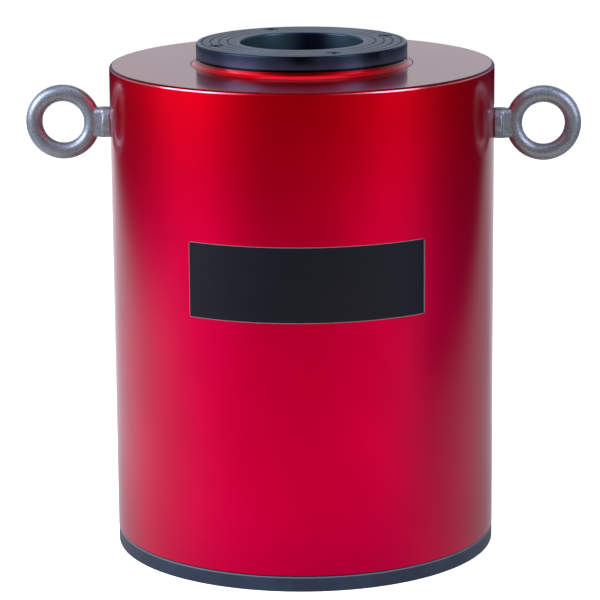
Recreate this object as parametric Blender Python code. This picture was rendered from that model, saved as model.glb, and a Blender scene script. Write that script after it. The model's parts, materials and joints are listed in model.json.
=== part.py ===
"""Hollow plunger cylinder: aluminium body, steel base, hollow plunger on a fixed centre tube.

It is single acting: oil lifts the plunger, and a spring in the body returns it. Metres, +Z up.
The origin is the centre of the underside, the label side faces -Y and the lifting eyes lie on X.
Heights run up from the underside, radii out from the main axis. A piece that stands on the side
of the body is made along its own Z axis, with Z as the distance from the main axis.
"""

import math

import bmesh
import bpy

MM = 0.001

# Clearances between neighbours
SEAT_GAP = 0.3 * MM             # between two faces that rest on each other
SLIDE_GAP = 0.3 * MM            # between a seal or guide and what slides on it
THREAD_GAP = 0.4 * MM           # round a screw or a threaded nose
SPIGOT_GAP = 0.6 * MM           # round the saddle's spigot
MERGE = 0.001 * MM
CUT_OVER = 2.0 * MM             # a cutter runs this far past the face that it opens

# Facets
ROUND_STEPS = 48                # outside of the body, base plate and saddle
INNER_STEPS = 26                # bores and all that turns or slides in them
SMALL_STEPS = 16                # round the coupler and the eyes' necks
SCREW_STEPS = 8
COVE_STEPS = 3                  # up the hollow foot of the collar
SCREW_TWIST = math.radians(11)  # keeps a screw's corners off the facet edges round it

# Cylinder body
BODY_DIAMETER = 275.0 * MM
BODY_WALL = 39.0 * MM           # round the pressure bore
STROKE = 150.0 * MM
STOP_WIDTH = 4.5 * MM           # ledge in the bore that stops the piston
SPRING_PACKED = 54.7 * MM       # height of the pocket over the ledge, which the pressed spring fills
TOP_WALL = 38.0 * MM
RIM_BEVEL = 2.2 * MM
FOOT_BEVEL = 0.8 * MM
COLLAR_WIDTH = 5.0 * MM         # raised ring round the plunger, with a hollow foot
COLLAR_HEIGHT = 3.9 * MM
GLAND_GAP = 0.5 * MM            # between the plunger rod and the top wall

# Seats in the top wall
WIPER_DEPTH = 5.5 * MM          # from the collar's top down to the wiper's groove
WIPER_HEIGHT = 7.0 * MM
WIPER_WIDTH = 5.0 * MM
GLAND_LAND = 5.5 * MM           # between the two grooves
GUIDE_HEIGHT = 16.0 * MM
GUIDE_WIDTH = 3.0 * MM

# Base plate, bottom head and their screws
BASE_INSET = 0.2 * MM           # the plate's edge lies just inside the body's
BASE_THICKNESS = 11.0 * MM
BASE_BEVEL = 0.9 * MM
BASE_HOLE_MARGIN = 1.5 * MM     # round the centre tube's hole
BASE_SCREW_COUNT = 6
BASE_SCREW_INSET = 17.5 * MM    # from the body's side
BASE_SCREW_LENGTH = 26.0 * MM
BASE_SCREW_SHANK = 8.0 * MM
BASE_SCREW_HEAD = 15.6 * MM
HEAD_THICKNESS = 34.4 * MM      # the bottom head closes the pressure bore
HEAD_STEP = 4.5 * MM            # its thread is this much wider than the bore, all round
HEAD_SEAL_DROP = 5.0 * MM       # from the head's top face down to its seal
HEAD_SEAL_HEIGHT = 6.0 * MM
HEAD_SEAL_WIDTH = 4.4 * MM

# Plunger
ROD_SHARE = 149 / 197           # the rod against the pressure bore
ROD_HOLE_SHARE = 104 / 149      # the hole through the rod against the rod
ROD_BEVEL = 1.0 * MM
PISTON_LIP = 1.5 * MM           # the piston's hole is this much tighter than the rod's
PISTON_BEVEL = 1.2 * MM
PISTON_LAND = 9.0 * MM          # between its grooves
PISTON_CROWN = 3.6 * MM         # above its upper groove
GALLERY_WIDTH = 3.0 * MM        # oil gallery round the foot of the piston
GALLERY_MARGIN = 0.5 * MM       # above the port
PISTON_SEAL_HEIGHT = 10.0 * MM
PISTON_SEAL_WIDTH = 7.2 * MM
BACKUP_HEIGHT = 3.4 * MM
BAND_HEIGHT = 8.0 * MM
BAND_WIDTH = 2.8 * MM
INNER_SEAL_RISE = 10.0 * MM     # above the piston's underside
INNER_SEAL_HEIGHT = 10.0 * MM
INNER_SEAL_WIDTH = 6.0 * MM
INNER_LAND = 22.0 * MM
INNER_BAND_HEIGHT = 10.0 * MM
INNER_BAND_WIDTH = 2.6 * MM

# Centre tube
TUBE_GAP = 0.5 * MM             # between the tube and the piston's hole
TUBE_WALL = 10.0 * MM
TUBE_FLANGE_WIDTH = 7.7 * MM
TUBE_FLANGE_THICKNESS = 7.7 * MM
TUBE_TOP_GAP = 3.0 * MM         # below the saddle's spigot
TUBE_SEAL_RISE = 18.0 * MM      # from the head's underside up to the tube's seal
TUBE_SEAL_HEIGHT = 5.0 * MM
TUBE_SEAL_WIDTH = 3.8 * MM

# Saddle and its screws
SADDLE_OVERHANG = 0.9 * MM      # past the rod
SADDLE_THICKNESS = 11.2 * MM
SADDLE_HOLE_MARGIN = 4.0 * MM   # round the centre tube's hole
SADDLE_LIFT = 4.4 * MM          # underside above the body's top face, plunger down
SADDLE_BEVEL = 1.5 * MM
SPIGOT_HEIGHT = 4.0 * MM        # the saddle's spigot centres it in the plunger
GROOVE_COUNT = 4
GROOVE_PITCH = 6.1 * MM
GROOVE_WIDTH = 1.0 * MM
GROOVE_DEPTH = 0.7 * MM
GROOVE_EDGE = 4.2 * MM          # from the saddle's rim in to the outer groove
SADDLE_SCREW_COUNT = 4
SADDLE_SCREW_TURN = 23.6        # degrees round from +X
SADDLE_SCREW_INSET = 10.2 * MM  # from the rod's outside
SADDLE_SCREW_LENGTH = 24.0 * MM
SADDLE_SCREW_SHANK = 5.0 * MM
SADDLE_SCREW_HEAD = 9.6 * MM
HEAD_SINK = 0.4 * MM            # a screw's head lies this far below its face

# Return spring, in the middle of its pocket
WIRE_DIAMETER = 12.0 * MM
SPRING_TURNS = 4.4
CLOSED_TURNS = 0.75             # at each end
SPRING_STEPS = 16
WIRE_SIDES = 6

# Lifting eyes
EYE_DROP = 43.2 * MM            # from the body's top face down to the eye's axis
EYE_STANDOFF = 34.9 * MM        # from the body's side to the middle of the eye
EYE_HOLE = 30.5 * MM
EYE_BAR = 11.7 * MM
EYE_NECK = 22.3 * MM
EYE_COLLAR_LENGTH = 6.0 * MM
EYE_CHEEK = 15.0 * MM           # thickness of the flat cheek at the neck
EYE_SHANK = 12.0 * MM
EYE_SHANK_LENGTH = 20.0 * MM
EYE_SEAT_DEPTH = 0.6 * MM
EYE_BEVEL = 0.5 * MM
EYE_STEPS = 24
EYE_BAR_SIDES = 12

# Oil port and coupler half
PORT_TURN = 135.0               # degrees round from +X, behind the label side
PORT_RISE = 12.0 * MM           # above the piston's underside
PORT_PASSAGE = 7.0 * MM
PORT_SEAT = 34.0 * MM
PORT_SEAT_DEPTH = 3.5 * MM
NOSE_DIAMETER = 17.8 * MM
NOSE_LENGTH = 21.4 * MM
HEX_WIDTH = 27.0 * MM           # across the flats
HEX_LENGTH = 9.7 * MM
BARREL_DIAMETER = 24.8 * MM
BARREL_LENGTH = 28.0 * MM
BARREL_BEVEL = 1.0 * MM
COUPLER_PASSAGE = 6.0 * MM
CHAMBER_DIAMETER = 13.0 * MM
CHAMBER_LENGTH = 23.0 * MM
MOUTH_DIAMETER = 15.0 * MM
MOUTH_DEPTH = 5.0 * MM
THROAT_DIAMETER = 8.4 * MM
THROAT_LENGTH = 1.0 * MM
VALVE_STEM = 5.0 * MM
VALVE_STEM_LENGTH = 8.0 * MM
VALVE_GUIDE_LENGTH = 4.0 * MM
VALVE_NOSE = 6.2 * MM
VALVE_NOSE_LENGTH = 4.2 * MM
VALVE_SPRING_WIRE = 1.4 * MM
VALVE_SPRING_TURNS = 5.0
VALVE_SPRING_STEPS = 10
VALVE_WIRE_SIDES = 5
CAP_WALL = 2.3 * MM
CAP_END = 3.5 * MM
CAP_BEVEL = 1.2 * MM
CAP_GAP = 2.0 * MM              # between the cap's mouth and the hexagon
SOCKET_SHARE = 0.36             # a screw's socket against its head


# Radii that follow from the sizes
body_radius = BODY_DIAMETER / 2
base_radius = body_radius - BASE_INSET
bore_radius = body_radius - BODY_WALL
pocket_radius = bore_radius - STOP_WIDTH
thread_radius = bore_radius + HEAD_STEP
head_radius = thread_radius - SEAT_GAP
piston_radius = bore_radius - SLIDE_GAP
gallery_radius = piston_radius - GALLERY_WIDTH
rod_radius = bore_radius * ROD_SHARE
gland_radius = rod_radius + GLAND_GAP
collar_radius = gland_radius + COLLAR_WIDTH
rod_hole = rod_radius * ROD_HOLE_SHARE
piston_hole = rod_hole - PISTON_LIP
tube_radius = piston_hole - TUBE_GAP
tube_hole = tube_radius - TUBE_WALL
flange_radius = tube_radius + TUBE_FLANGE_WIDTH
base_hole = tube_hole + BASE_HOLE_MARGIN
saddle_radius = rod_radius + SADDLE_OVERHANG
saddle_hole = tube_hole + SADDLE_HOLE_MARGIN
eye_reach = body_radius + EYE_STANDOFF
eye_seat = body_radius - EYE_SEAT_DEPTH
port_seat = body_radius - PORT_SEAT_DEPTH

# Heights that follow from the sizes
body_bottom = BASE_THICKNESS + SEAT_GAP
head_bottom = body_bottom
head_top = head_bottom + HEAD_THICKNESS
head_ledge = head_top + SEAT_GAP
head_seal_top = head_top - HEAD_SEAL_DROP
head_seal_bottom = head_seal_top - HEAD_SEAL_HEIGHT
flange_top = head_bottom + TUBE_FLANGE_THICKNESS
tube_seal_bottom = head_bottom + TUBE_SEAL_RISE
tube_seal_top = tube_seal_bottom + TUBE_SEAL_HEIGHT
piston_bottom = head_ledge
port_height = piston_bottom + PORT_RISE
gallery_top = port_height + PORT_PASSAGE / 2 + GALLERY_MARGIN
seal_bottom = gallery_top + GALLERY_WIDTH + PISTON_LAND
seal_split = seal_bottom + PISTON_SEAL_HEIGHT
seal_top = seal_split + BACKUP_HEIGHT
band_bottom = seal_top + PISTON_LAND
band_top = band_bottom + BAND_HEIGHT
piston_top = band_top + PISTON_CROWN
inner_seal_bottom = piston_bottom + INNER_SEAL_RISE
inner_seal_top = inner_seal_bottom + INNER_SEAL_HEIGHT
inner_band_bottom = inner_seal_top + INNER_LAND
inner_band_top = inner_band_bottom + INNER_BAND_HEIGHT
stop_ledge = piston_top + STROKE + SEAT_GAP
pocket_top = stop_ledge + SPRING_PACKED
body_top = pocket_top + TOP_WALL
collar_top = body_top + COLLAR_HEIGHT
wiper_top = collar_top - WIPER_DEPTH
wiper_bottom = wiper_top - WIPER_HEIGHT
guide_top = wiper_bottom - GLAND_LAND
guide_bottom = guide_top - GUIDE_HEIGHT
saddle_bottom = body_top + SADDLE_LIFT
saddle_top = saddle_bottom + SADDLE_THICKNESS
spigot_bottom = saddle_bottom - SPIGOT_HEIGHT
rod_top = saddle_bottom - SEAT_GAP
tube_top = spigot_bottom - TUBE_TOP_GAP
eye_height = body_top - EYE_DROP


def material(name, colour, roughness, metallic):
    """A Principled material with one colour."""
    made = bpy.data.materials.new(name)
    made.use_nodes = True
    shader = made.node_tree.nodes["Principled BSDF"]
    shader.inputs["Base Color"].default_value = (*colour, 1.0)
    shader.inputs["Roughness"].default_value = roughness
    shader.inputs["Metallic"].default_value = metallic
    made.diffuse_color = (*colour, 1.0)
    return made


def finish(name, shape, surface):
    """Turn a bmesh into a smooth-shaded object."""
    mesh = bpy.data.meshes.new(name)
    bmesh.ops.remove_doubles(shape, verts=shape.verts, dist=MERGE)
    bmesh.ops.recalc_face_normals(shape, faces=shape.faces)
    shape.to_mesh(mesh)
    shape.free()
    mesh.shade_smooth()
    mesh.set_sharp_from_angle(angle=math.radians(30))
    made = bpy.data.objects.new(name, mesh)
    bpy.context.scene.collection.objects.link(made)
    if surface:
        mesh.materials.append(surface)
    return made


def turned(name, outline, surface=None, steps=ROUND_STEPS):
    """Turn a closed outline of (radius, height) points about Z."""
    shape = bmesh.new()
    corners = [shape.verts.new((radius, 0.0, height)) for radius, height in outline]
    pairs = zip(corners, corners[1:] + corners[:1])
    sides = [shape.edges.new(pair) for pair in pairs if pair[0].co.x > 0 or pair[1].co.x > 0]
    bmesh.ops.spin(
        shape, geom=corners + sides, cent=(0, 0, 0), axis=(0, 0, 1),
        angle=math.tau, steps=steps, use_merge=True,
    )
    return finish(name, shape, surface)


def ring(name, inner, outer, bottom, top, surface):
    """A turned ring of rectangular section, for a groove in the bores."""
    outline = [(inner, bottom), (outer, bottom), (outer, top), (inner, top)]
    return turned(name, outline, surface, INNER_STEPS)


def cove(foot, base, radius, steps):
    """Points of a hollow quarter circle, from its foot inwards and up to its top."""
    turns = [math.pi / 2 * step / steps for step in range(steps + 1)]
    return [
        (foot - radius * math.sin(turn), base + radius * (1 - math.cos(turn))) for turn in turns
    ]


def slot(wall, floor, low, high):
    """A groove in a turned wall, listed upwards."""
    return [(wall, low), (floor, low), (floor, high), (wall, high)]


def hide_helper(helper):
    """Keep a cutter or a joined shape out of the model itself."""
    helper.hide_render = True
    helper.display_type = "WIRE"


def combine(target, helper, operation="DIFFERENCE"):
    """Cut a helper out of a piece, or join it on."""
    modifier = target.modifiers.new(helper.name, "BOOLEAN")
    modifier.operation = operation
    modifier.solver = "EXACT"
    modifier.object = helper
    hide_helper(helper)


def put_on_side(piece, turn, height):
    """Stand a piece on the body's side: its own Z axis points out at this angle round from +X."""
    piece.location = (0.0, 0.0, height)
    piece.rotation_euler = (0.0, math.pi / 2, math.radians(turn))
    return piece


def coil(name, mean, wire, bottom, top, turns, surface, steps, sides):
    """A compression spring with closed, ground ends."""
    closed = CLOSED_TURNS * (wire + SEAT_GAP)
    low = bottom + wire / 4
    high = top - wire / 4
    shape = bmesh.new()
    loops = []
    count = round(turns * steps)
    for step in range(count + 1):
        turn = turns * step / count
        if turn < CLOSED_TURNS:
            height = low + closed * turn / CLOSED_TURNS
        elif turn > turns - CLOSED_TURNS:
            height = high - closed * (turns - turn) / CLOSED_TURNS
        else:
            share = (turn - CLOSED_TURNS) / (turns - 2 * CLOSED_TURNS)
            height = low + closed + share * (high - low - 2 * closed)
        angle = math.tau * turn
        loop = []
        for side in range(sides):
            around = math.tau * (side + 0.5) / sides
            radius = mean + wire / 2 * math.cos(around)
            level = min(max(height + wire / 2 * math.sin(around), bottom), top)
            loop.append(shape.verts.new((radius * math.cos(angle), radius * math.sin(angle), level)))
        loops.append(loop)
    for loop, following in zip(loops, loops[1:]):
        for side in range(sides):
            other = (side + 1) % sides
            shape.faces.new((loop[side], loop[other], following[other], following[side]))
    shape.faces.new(loops[0][::-1])
    shape.faces.new(loops[-1])
    return finish(name, shape, surface)


def screw(name, shank, head, length, surface):
    """A flat-head socket screw: head up, with the face of its head at height 0."""
    radius = shank / 2
    rim = head / 2
    socket = rim * SOCKET_SHARE
    sunk = rim - radius
    return turned(name, [
        (0.0, -sunk), (socket, -sunk), (socket, 0.0), (rim, 0.0), (radius, -sunk),
        (radius, radius / 2 - length), (radius / 2, -length), (0.0, -length),
    ], surface, SCREW_STEPS)


def screw_cutter(name, shank, head, length):
    """The hole for such a screw, open above its head."""
    radius = shank / 2 + THREAD_GAP
    rim = head / 2 + THREAD_GAP
    return turned(name, [
        (0.0, CUT_OVER), (rim, CUT_OVER), (rim, 0.0), (radius, radius - rim),
        (radius, -length - CUT_OVER), (0.0, -length - CUT_OVER),
    ], None, SCREW_STEPS)


def screw_ring(count, circle, turn):
    """Number and place of each screw on a circle of this radius."""
    for number in range(count):
        angle = math.radians(turn) + math.tau * number / count
        yield number + 1, circle * math.cos(angle), circle * math.sin(angle)


def make_body(surface):
    """The red body: a solid bar with its collar, bored from below up to the top wall."""
    foot = cove(collar_radius, body_top, COLLAR_HEIGHT, COVE_STEPS)
    body = turned("cylinder_body", [
        (0.0, body_bottom),
        (body_radius - FOOT_BEVEL, body_bottom),
        (body_radius, body_bottom + FOOT_BEVEL),
        (body_radius, body_top - RIM_BEVEL),
        (body_radius - RIM_BEVEL, body_top),
        *foot,
        (0.0, collar_top),
    ], surface)
    bore = turned("body_bore", [
        (0.0, body_bottom - CUT_OVER),
        (thread_radius, body_bottom - CUT_OVER),
        (thread_radius, head_ledge),
        (bore_radius, head_ledge),
        (bore_radius, stop_ledge),
        (pocket_radius, stop_ledge),
        (pocket_radius, pocket_top),
        (gland_radius, pocket_top),
        *slot(gland_radius, gland_radius + GUIDE_WIDTH, guide_bottom, guide_top),
        *slot(gland_radius, gland_radius + WIPER_WIDTH, wiper_bottom, wiper_top),
        (gland_radius, collar_top + CUT_OVER),
        (0.0, collar_top + CUT_OVER),
    ], None, INNER_STEPS)
    combine(body, bore)
    return body


def make_gland_rings(rubber, guide):
    """The wiper and the guide band in the top wall."""
    inner = rod_radius + SLIDE_GAP
    outer = gland_radius + WIPER_WIDTH - SEAT_GAP
    shoulder = (inner + gland_radius) / 2
    turned("wiper_ring", [
        (inner, wiper_bottom + SEAT_GAP), (outer, wiper_bottom + SEAT_GAP),
        (outer, wiper_top - SEAT_GAP), (shoulder, wiper_top - SEAT_GAP),
        (inner, wiper_top + WIPER_DEPTH / 2),
    ], rubber, INNER_STEPS)
    ring("gland_guide_band", inner, gland_radius + GUIDE_WIDTH - SEAT_GAP,
         guide_bottom + SEAT_GAP, guide_top - SEAT_GAP, guide)


def make_base(black, steel, zinc, rubber, body):
    """Base plate, bottom head with its seals, and the screws from below."""
    plate = turned("base_plate", [
        (base_hole + BASE_BEVEL, 0.0), (base_radius - BASE_BEVEL, 0.0), (base_radius, BASE_BEVEL),
        (base_radius, BASE_THICKNESS - BASE_BEVEL), (base_radius - BASE_BEVEL, BASE_THICKNESS),
        (base_hole, BASE_THICKNESS), (base_hole, BASE_BEVEL),
    ], black)
    circle = body_radius - BASE_SCREW_INSET
    for number, x, y in screw_ring(BASE_SCREW_COUNT, circle, 0.0):
        sizes = (BASE_SCREW_SHANK, BASE_SCREW_HEAD, BASE_SCREW_LENGTH)
        hole_cutter = screw_cutter(f"base_screw_hole_{number}", *sizes)
        for piece in (screw(f"base_screw_{number}", *sizes, zinc), hole_cutter):
            piece.location = (x, y, HEAD_SINK)
            piece.rotation_euler = (math.pi, 0.0, SCREW_TWIST)
        combine(plate, hole_cutter)
        combine(body, hole_cutter)

    bore = tube_radius + SEAT_GAP
    recess = flange_radius + SEAT_GAP
    recess_top = flange_top + SEAT_GAP
    turned("bottom_head", [
        (recess, head_bottom),
        (head_radius, head_bottom),
        *slot(head_radius, head_radius - HEAD_SEAL_WIDTH, head_seal_bottom, head_seal_top),
        (head_radius, head_top),
        (bore, head_top),
        *slot(bore, bore + TUBE_SEAL_WIDTH, tube_seal_bottom, tube_seal_top)[::-1],
        (bore, recess_top),
        (recess, recess_top),
    ], steel, INNER_STEPS)
    ring("head_seal", head_radius - HEAD_SEAL_WIDTH + SEAT_GAP, head_radius,
         head_seal_bottom + SEAT_GAP, head_seal_top - SEAT_GAP, rubber)
    ring("tube_seal", bore, bore + TUBE_SEAL_WIDTH - SEAT_GAP,
         tube_seal_bottom + SEAT_GAP, tube_seal_top - SEAT_GAP, rubber)


def make_tube(chrome):
    """The centre tube, held by its flange between bottom head and base plate."""
    turned("centre_tube", [
        (tube_hole, head_bottom), (flange_radius, head_bottom), (flange_radius, flange_top),
        (tube_radius, flange_top), (tube_radius, tube_top - ROD_BEVEL),
        (tube_radius - ROD_BEVEL, tube_top), (tube_hole, tube_top),
    ], chrome, INNER_STEPS)


def make_plunger(chrome, rubber, guide, backup):
    """Piston and hollow rod in one piece, with their seals and guide bands."""
    plunger = turned("plunger", [
        (piston_hole, piston_bottom),
        (gallery_radius - PISTON_BEVEL, piston_bottom),
        (gallery_radius, piston_bottom + PISTON_BEVEL),
        (gallery_radius, gallery_top),
        (piston_radius, gallery_top + GALLERY_WIDTH),
        *slot(piston_radius, piston_radius - PISTON_SEAL_WIDTH, seal_bottom, seal_top),
        *slot(piston_radius, piston_radius - BAND_WIDTH, band_bottom, band_top),
        (piston_radius, piston_top),
        (rod_radius, piston_top),
        (rod_radius, rod_top - ROD_BEVEL),
        (rod_radius - ROD_BEVEL, rod_top),
        (rod_hole, rod_top),
        (rod_hole, piston_top),
        (piston_hole, piston_top - PISTON_LIP),
        *slot(piston_hole, piston_hole + INNER_BAND_WIDTH, inner_band_bottom, inner_band_top)[::-1],
        *slot(piston_hole, piston_hole + INNER_SEAL_WIDTH, inner_seal_bottom, inner_seal_top)[::-1],
    ], chrome, INNER_STEPS)
    seal_floor = piston_radius - PISTON_SEAL_WIDTH + SEAT_GAP
    inner = tube_radius + SLIDE_GAP
    ring("piston_seal", seal_floor, piston_radius, seal_bottom + SEAT_GAP, seal_split - SEAT_GAP, rubber)
    ring("piston_backup_ring", seal_floor, piston_radius, seal_split, seal_top - SEAT_GAP, backup)
    ring("piston_guide_band", piston_radius - BAND_WIDTH + SEAT_GAP, piston_radius,
         band_bottom + SEAT_GAP, band_top - SEAT_GAP, guide)
    ring("inner_seal", inner, piston_hole + INNER_SEAL_WIDTH - SEAT_GAP,
         inner_seal_bottom + SEAT_GAP, inner_seal_top - SEAT_GAP, rubber)
    ring("inner_guide_band", inner, piston_hole + INNER_BAND_WIDTH - SEAT_GAP,
         inner_band_bottom + SEAT_GAP, inner_band_top - SEAT_GAP, guide)
    return plunger


def make_saddle(black, zinc, plunger):
    """The grooved saddle on the plunger's end, with its screws."""
    spigot = rod_hole - SPIGOT_GAP
    grooves = []
    for number in range(GROOVE_COUNT):
        middle = saddle_radius - GROOVE_EDGE - number * GROOVE_PITCH
        grooves += [
            (middle + GROOVE_WIDTH / 2, saddle_top),
            (middle, saddle_top - GROOVE_DEPTH),
            (middle - GROOVE_WIDTH / 2, saddle_top),
        ]
    saddle = turned("saddle", [
        (saddle_hole, spigot_bottom),
        (spigot, spigot_bottom),
        (spigot, saddle_bottom),
        (saddle_radius, saddle_bottom),
        (saddle_radius, saddle_top - SADDLE_BEVEL),
        (saddle_radius - SADDLE_BEVEL, saddle_top),
        *grooves,
        (saddle_hole + SADDLE_BEVEL, saddle_top),
        (saddle_hole, saddle_top - SADDLE_BEVEL),
    ], black)
    circle = rod_radius - SADDLE_SCREW_INSET
    for number, x, y in screw_ring(SADDLE_SCREW_COUNT, circle, SADDLE_SCREW_TURN):
        sizes = (SADDLE_SCREW_SHANK, SADDLE_SCREW_HEAD, SADDLE_SCREW_LENGTH)
        hole_cutter = screw_cutter(f"saddle_screw_hole_{number}", *sizes)
        for piece in (screw(f"saddle_screw_{number}", *sizes, zinc), hole_cutter):
            piece.location = (x, y, saddle_top - HEAD_SINK)
            piece.rotation_euler = (0.0, 0.0, SCREW_TWIST)
        combine(saddle, hole_cutter)
        combine(plunger, hole_cutter)


def eye_bar(name, surface):
    """The round bar of an eye, in the plane of its own X and Z axes."""
    mean = (EYE_HOLE + EYE_BAR) / 2
    shape = bmesh.new()
    bar = bmesh.ops.create_circle(shape, segments=EYE_BAR_SIDES, radius=EYE_BAR / 2)
    bmesh.ops.translate(shape, verts=bar["verts"], vec=(mean, 0.0, eye_reach))
    bmesh.ops.spin(
        shape, geom=shape.verts[:] + shape.edges[:], cent=(0, 0, eye_reach), axis=(0, 1, 0),
        angle=math.tau, steps=EYE_STEPS, use_merge=True,
    )
    return finish(name, shape, surface)


def eye_cheek(name):
    """The flat cheek that widens the bar into the neck."""
    start = eye_seat + EYE_COLLAR_LENGTH / 2
    end = eye_reach - (EYE_HOLE + EYE_BAR) / 2
    shape = bmesh.new()
    bmesh.ops.create_cube(shape, size=1.0)
    for corner in shape.verts:
        outer = corner.co.z > 0
        thickness = EYE_BAR if outer else EYE_CHEEK
        corner.co = (corner.co.x * EYE_NECK, corner.co.y * thickness, end if outer else start)
    long_edges = [edge for edge in shape.edges if abs(edge.verts[0].co.z - edge.verts[1].co.z) > MERGE]
    bmesh.ops.bevel(
        shape, geom=long_edges, offset=EYE_CHEEK / 5, segments=2, profile=0.5,
        affect="EDGES", clamp_overlap=True,
    )
    return finish(name, shape, None)


def make_eyebolt(name, turn, surface, body):
    """A forged lifting eye, its threaded shank in the body's wall."""
    seat = eye_seat + SEAT_GAP
    shank_end = seat - EYE_SHANK_LENGTH
    collar_end = seat + EYE_COLLAR_LENGTH
    shank = EYE_SHANK / 2
    neck = EYE_NECK / 2
    eye = eye_bar(name, surface)
    collar = turned(f"{name}_collar_shape", [
        (0.0, shank_end), (shank - EYE_BEVEL, shank_end), (shank, shank_end + EYE_BEVEL),
        (shank, seat), (neck - EYE_BEVEL, seat), (neck, seat + EYE_BEVEL),
        (neck, collar_end - EYE_BEVEL), (neck - EYE_BEVEL, collar_end), (0.0, collar_end),
    ], None, SMALL_STEPS)
    cheek = eye_cheek(f"{name}_cheek_shape")
    hole = shank + THREAD_GAP
    hole_end = shank_end - CUT_OVER
    spot_face = neck + 2 * SEAT_GAP
    cutter = turned(f"{name}_hole", [
        (0.0, hole_end), (hole, hole_end), (hole, eye_seat), (spot_face, eye_seat),
        (spot_face, body_radius + CUT_OVER), (0.0, body_radius + CUT_OVER),
    ], None, SMALL_STEPS)
    for piece in (eye, collar, cheek, cutter):
        put_on_side(piece, turn, eye_height)
    combine(eye, collar, "UNION")
    combine(eye, cheek, "UNION")
    combine(body, cutter)


def make_spring(surface):
    """The return spring between the piston and the top wall."""
    coil("return_spring", (rod_radius + pocket_radius) / 2, WIRE_DIAMETER, piston_top + SEAT_GAP,
         pocket_top - SEAT_GAP, SPRING_TURNS, surface, SPRING_STEPS, WIRE_SIDES)


def make_coupler(zinc, steel, plastic, body):
    """The oil port with its coupler half, the valve and spring in it, and the dust cap."""
    nose_end = port_seat + SEAT_GAP - NOSE_LENGTH
    hex_start = port_seat + SEAT_GAP
    hex_end = hex_start + HEX_LENGTH
    barrel_end = hex_end + BARREL_LENGTH
    nose = NOSE_DIAMETER / 2
    barrel = BARREL_DIAMETER / 2
    passage = COUPLER_PASSAGE / 2
    chamber = CHAMBER_DIAMETER / 2
    mouth = MOUTH_DIAMETER / 2
    throat = THROAT_DIAMETER / 2
    mouth_floor = barrel_end - MOUTH_DEPTH
    throat_floor = mouth_floor - THROAT_LENGTH
    cone_floor = throat_floor - (chamber - throat)
    chamber_floor = cone_floor - CHAMBER_LENGTH

    cutter = turned("port_hole", [
        (0.0, bore_radius - CUT_OVER), (PORT_PASSAGE / 2, bore_radius - CUT_OVER),
        (PORT_PASSAGE / 2, nose_end - SEAT_GAP), (nose + THREAD_GAP, nose_end - SEAT_GAP),
        (nose + THREAD_GAP, port_seat), (PORT_SEAT / 2, port_seat),
        (PORT_SEAT / 2, body_radius + CUT_OVER), (0.0, body_radius + CUT_OVER),
    ], None, SMALL_STEPS)
    combine(body, cutter)

    coupler = turned("coupler_body", [
        (passage, nose_end), (nose, nose_end), (nose, hex_start + HEX_LENGTH / 2),
        (barrel, hex_start + HEX_LENGTH / 2), (barrel, barrel_end - BARREL_BEVEL),
        (barrel - BARREL_BEVEL, barrel_end), (mouth, barrel_end), (mouth, mouth_floor),
        (throat, mouth_floor), (throat, throat_floor), (chamber, cone_floor),
        (chamber, chamber_floor), (passage, chamber_floor),
    ], zinc, SMALL_STEPS)
    corner = HEX_WIDTH / 2 / math.cos(math.pi / 6)
    nut_bore = (nose + passage) / 2
    nut = turned("coupler_hex_shape", [
        (nut_bore, hex_start), (corner, hex_start), (corner, hex_end), (nut_bore, hex_end),
    ], None, 6)
    combine(coupler, nut, "UNION")

    stem = VALVE_STEM / 2
    guide = chamber - SEAT_GAP
    tip = VALVE_NOSE / 2
    cone_start = cone_floor - SEAT_GAP
    cone_end = cone_start + guide - tip
    valve = turned("coupler_valve", [
        (0.0, cone_start - VALVE_GUIDE_LENGTH - VALVE_STEM_LENGTH),
        (stem, cone_start - VALVE_GUIDE_LENGTH - VALVE_STEM_LENGTH),
        (stem, cone_start - VALVE_GUIDE_LENGTH), (guide, cone_start - VALVE_GUIDE_LENGTH),
        (guide, cone_start), (tip, cone_end), (tip, cone_end + VALVE_NOSE_LENGTH),
        (0.0, cone_end + VALVE_NOSE_LENGTH),
    ], steel, SMALL_STEPS)
    spring_mean = (stem + chamber) / 2
    spring = coil("coupler_spring", spring_mean, VALVE_SPRING_WIRE, chamber_floor + SEAT_GAP,
                  cone_start - VALVE_GUIDE_LENGTH - SEAT_GAP, VALVE_SPRING_TURNS, steel,
                  VALVE_SPRING_STEPS, VALVE_WIRE_SIDES)

    inside = barrel + SEAT_GAP
    outside = inside + CAP_WALL
    cap_start = hex_end + CAP_GAP
    cap_floor = barrel_end + SEAT_GAP
    cap_end = cap_floor + CAP_END
    cap = turned("dust_cap", [
        (inside, cap_start), (outside, cap_start), (outside, cap_end - CAP_BEVEL),
        (outside - CAP_BEVEL, cap_end), (0.0, cap_end), (0.0, cap_floor), (inside, cap_floor),
    ], plastic, SMALL_STEPS)
    for piece in (cutter, coupler, nut, valve, spring, cap):
        put_on_side(piece, PORT_TURN, port_height)


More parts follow.
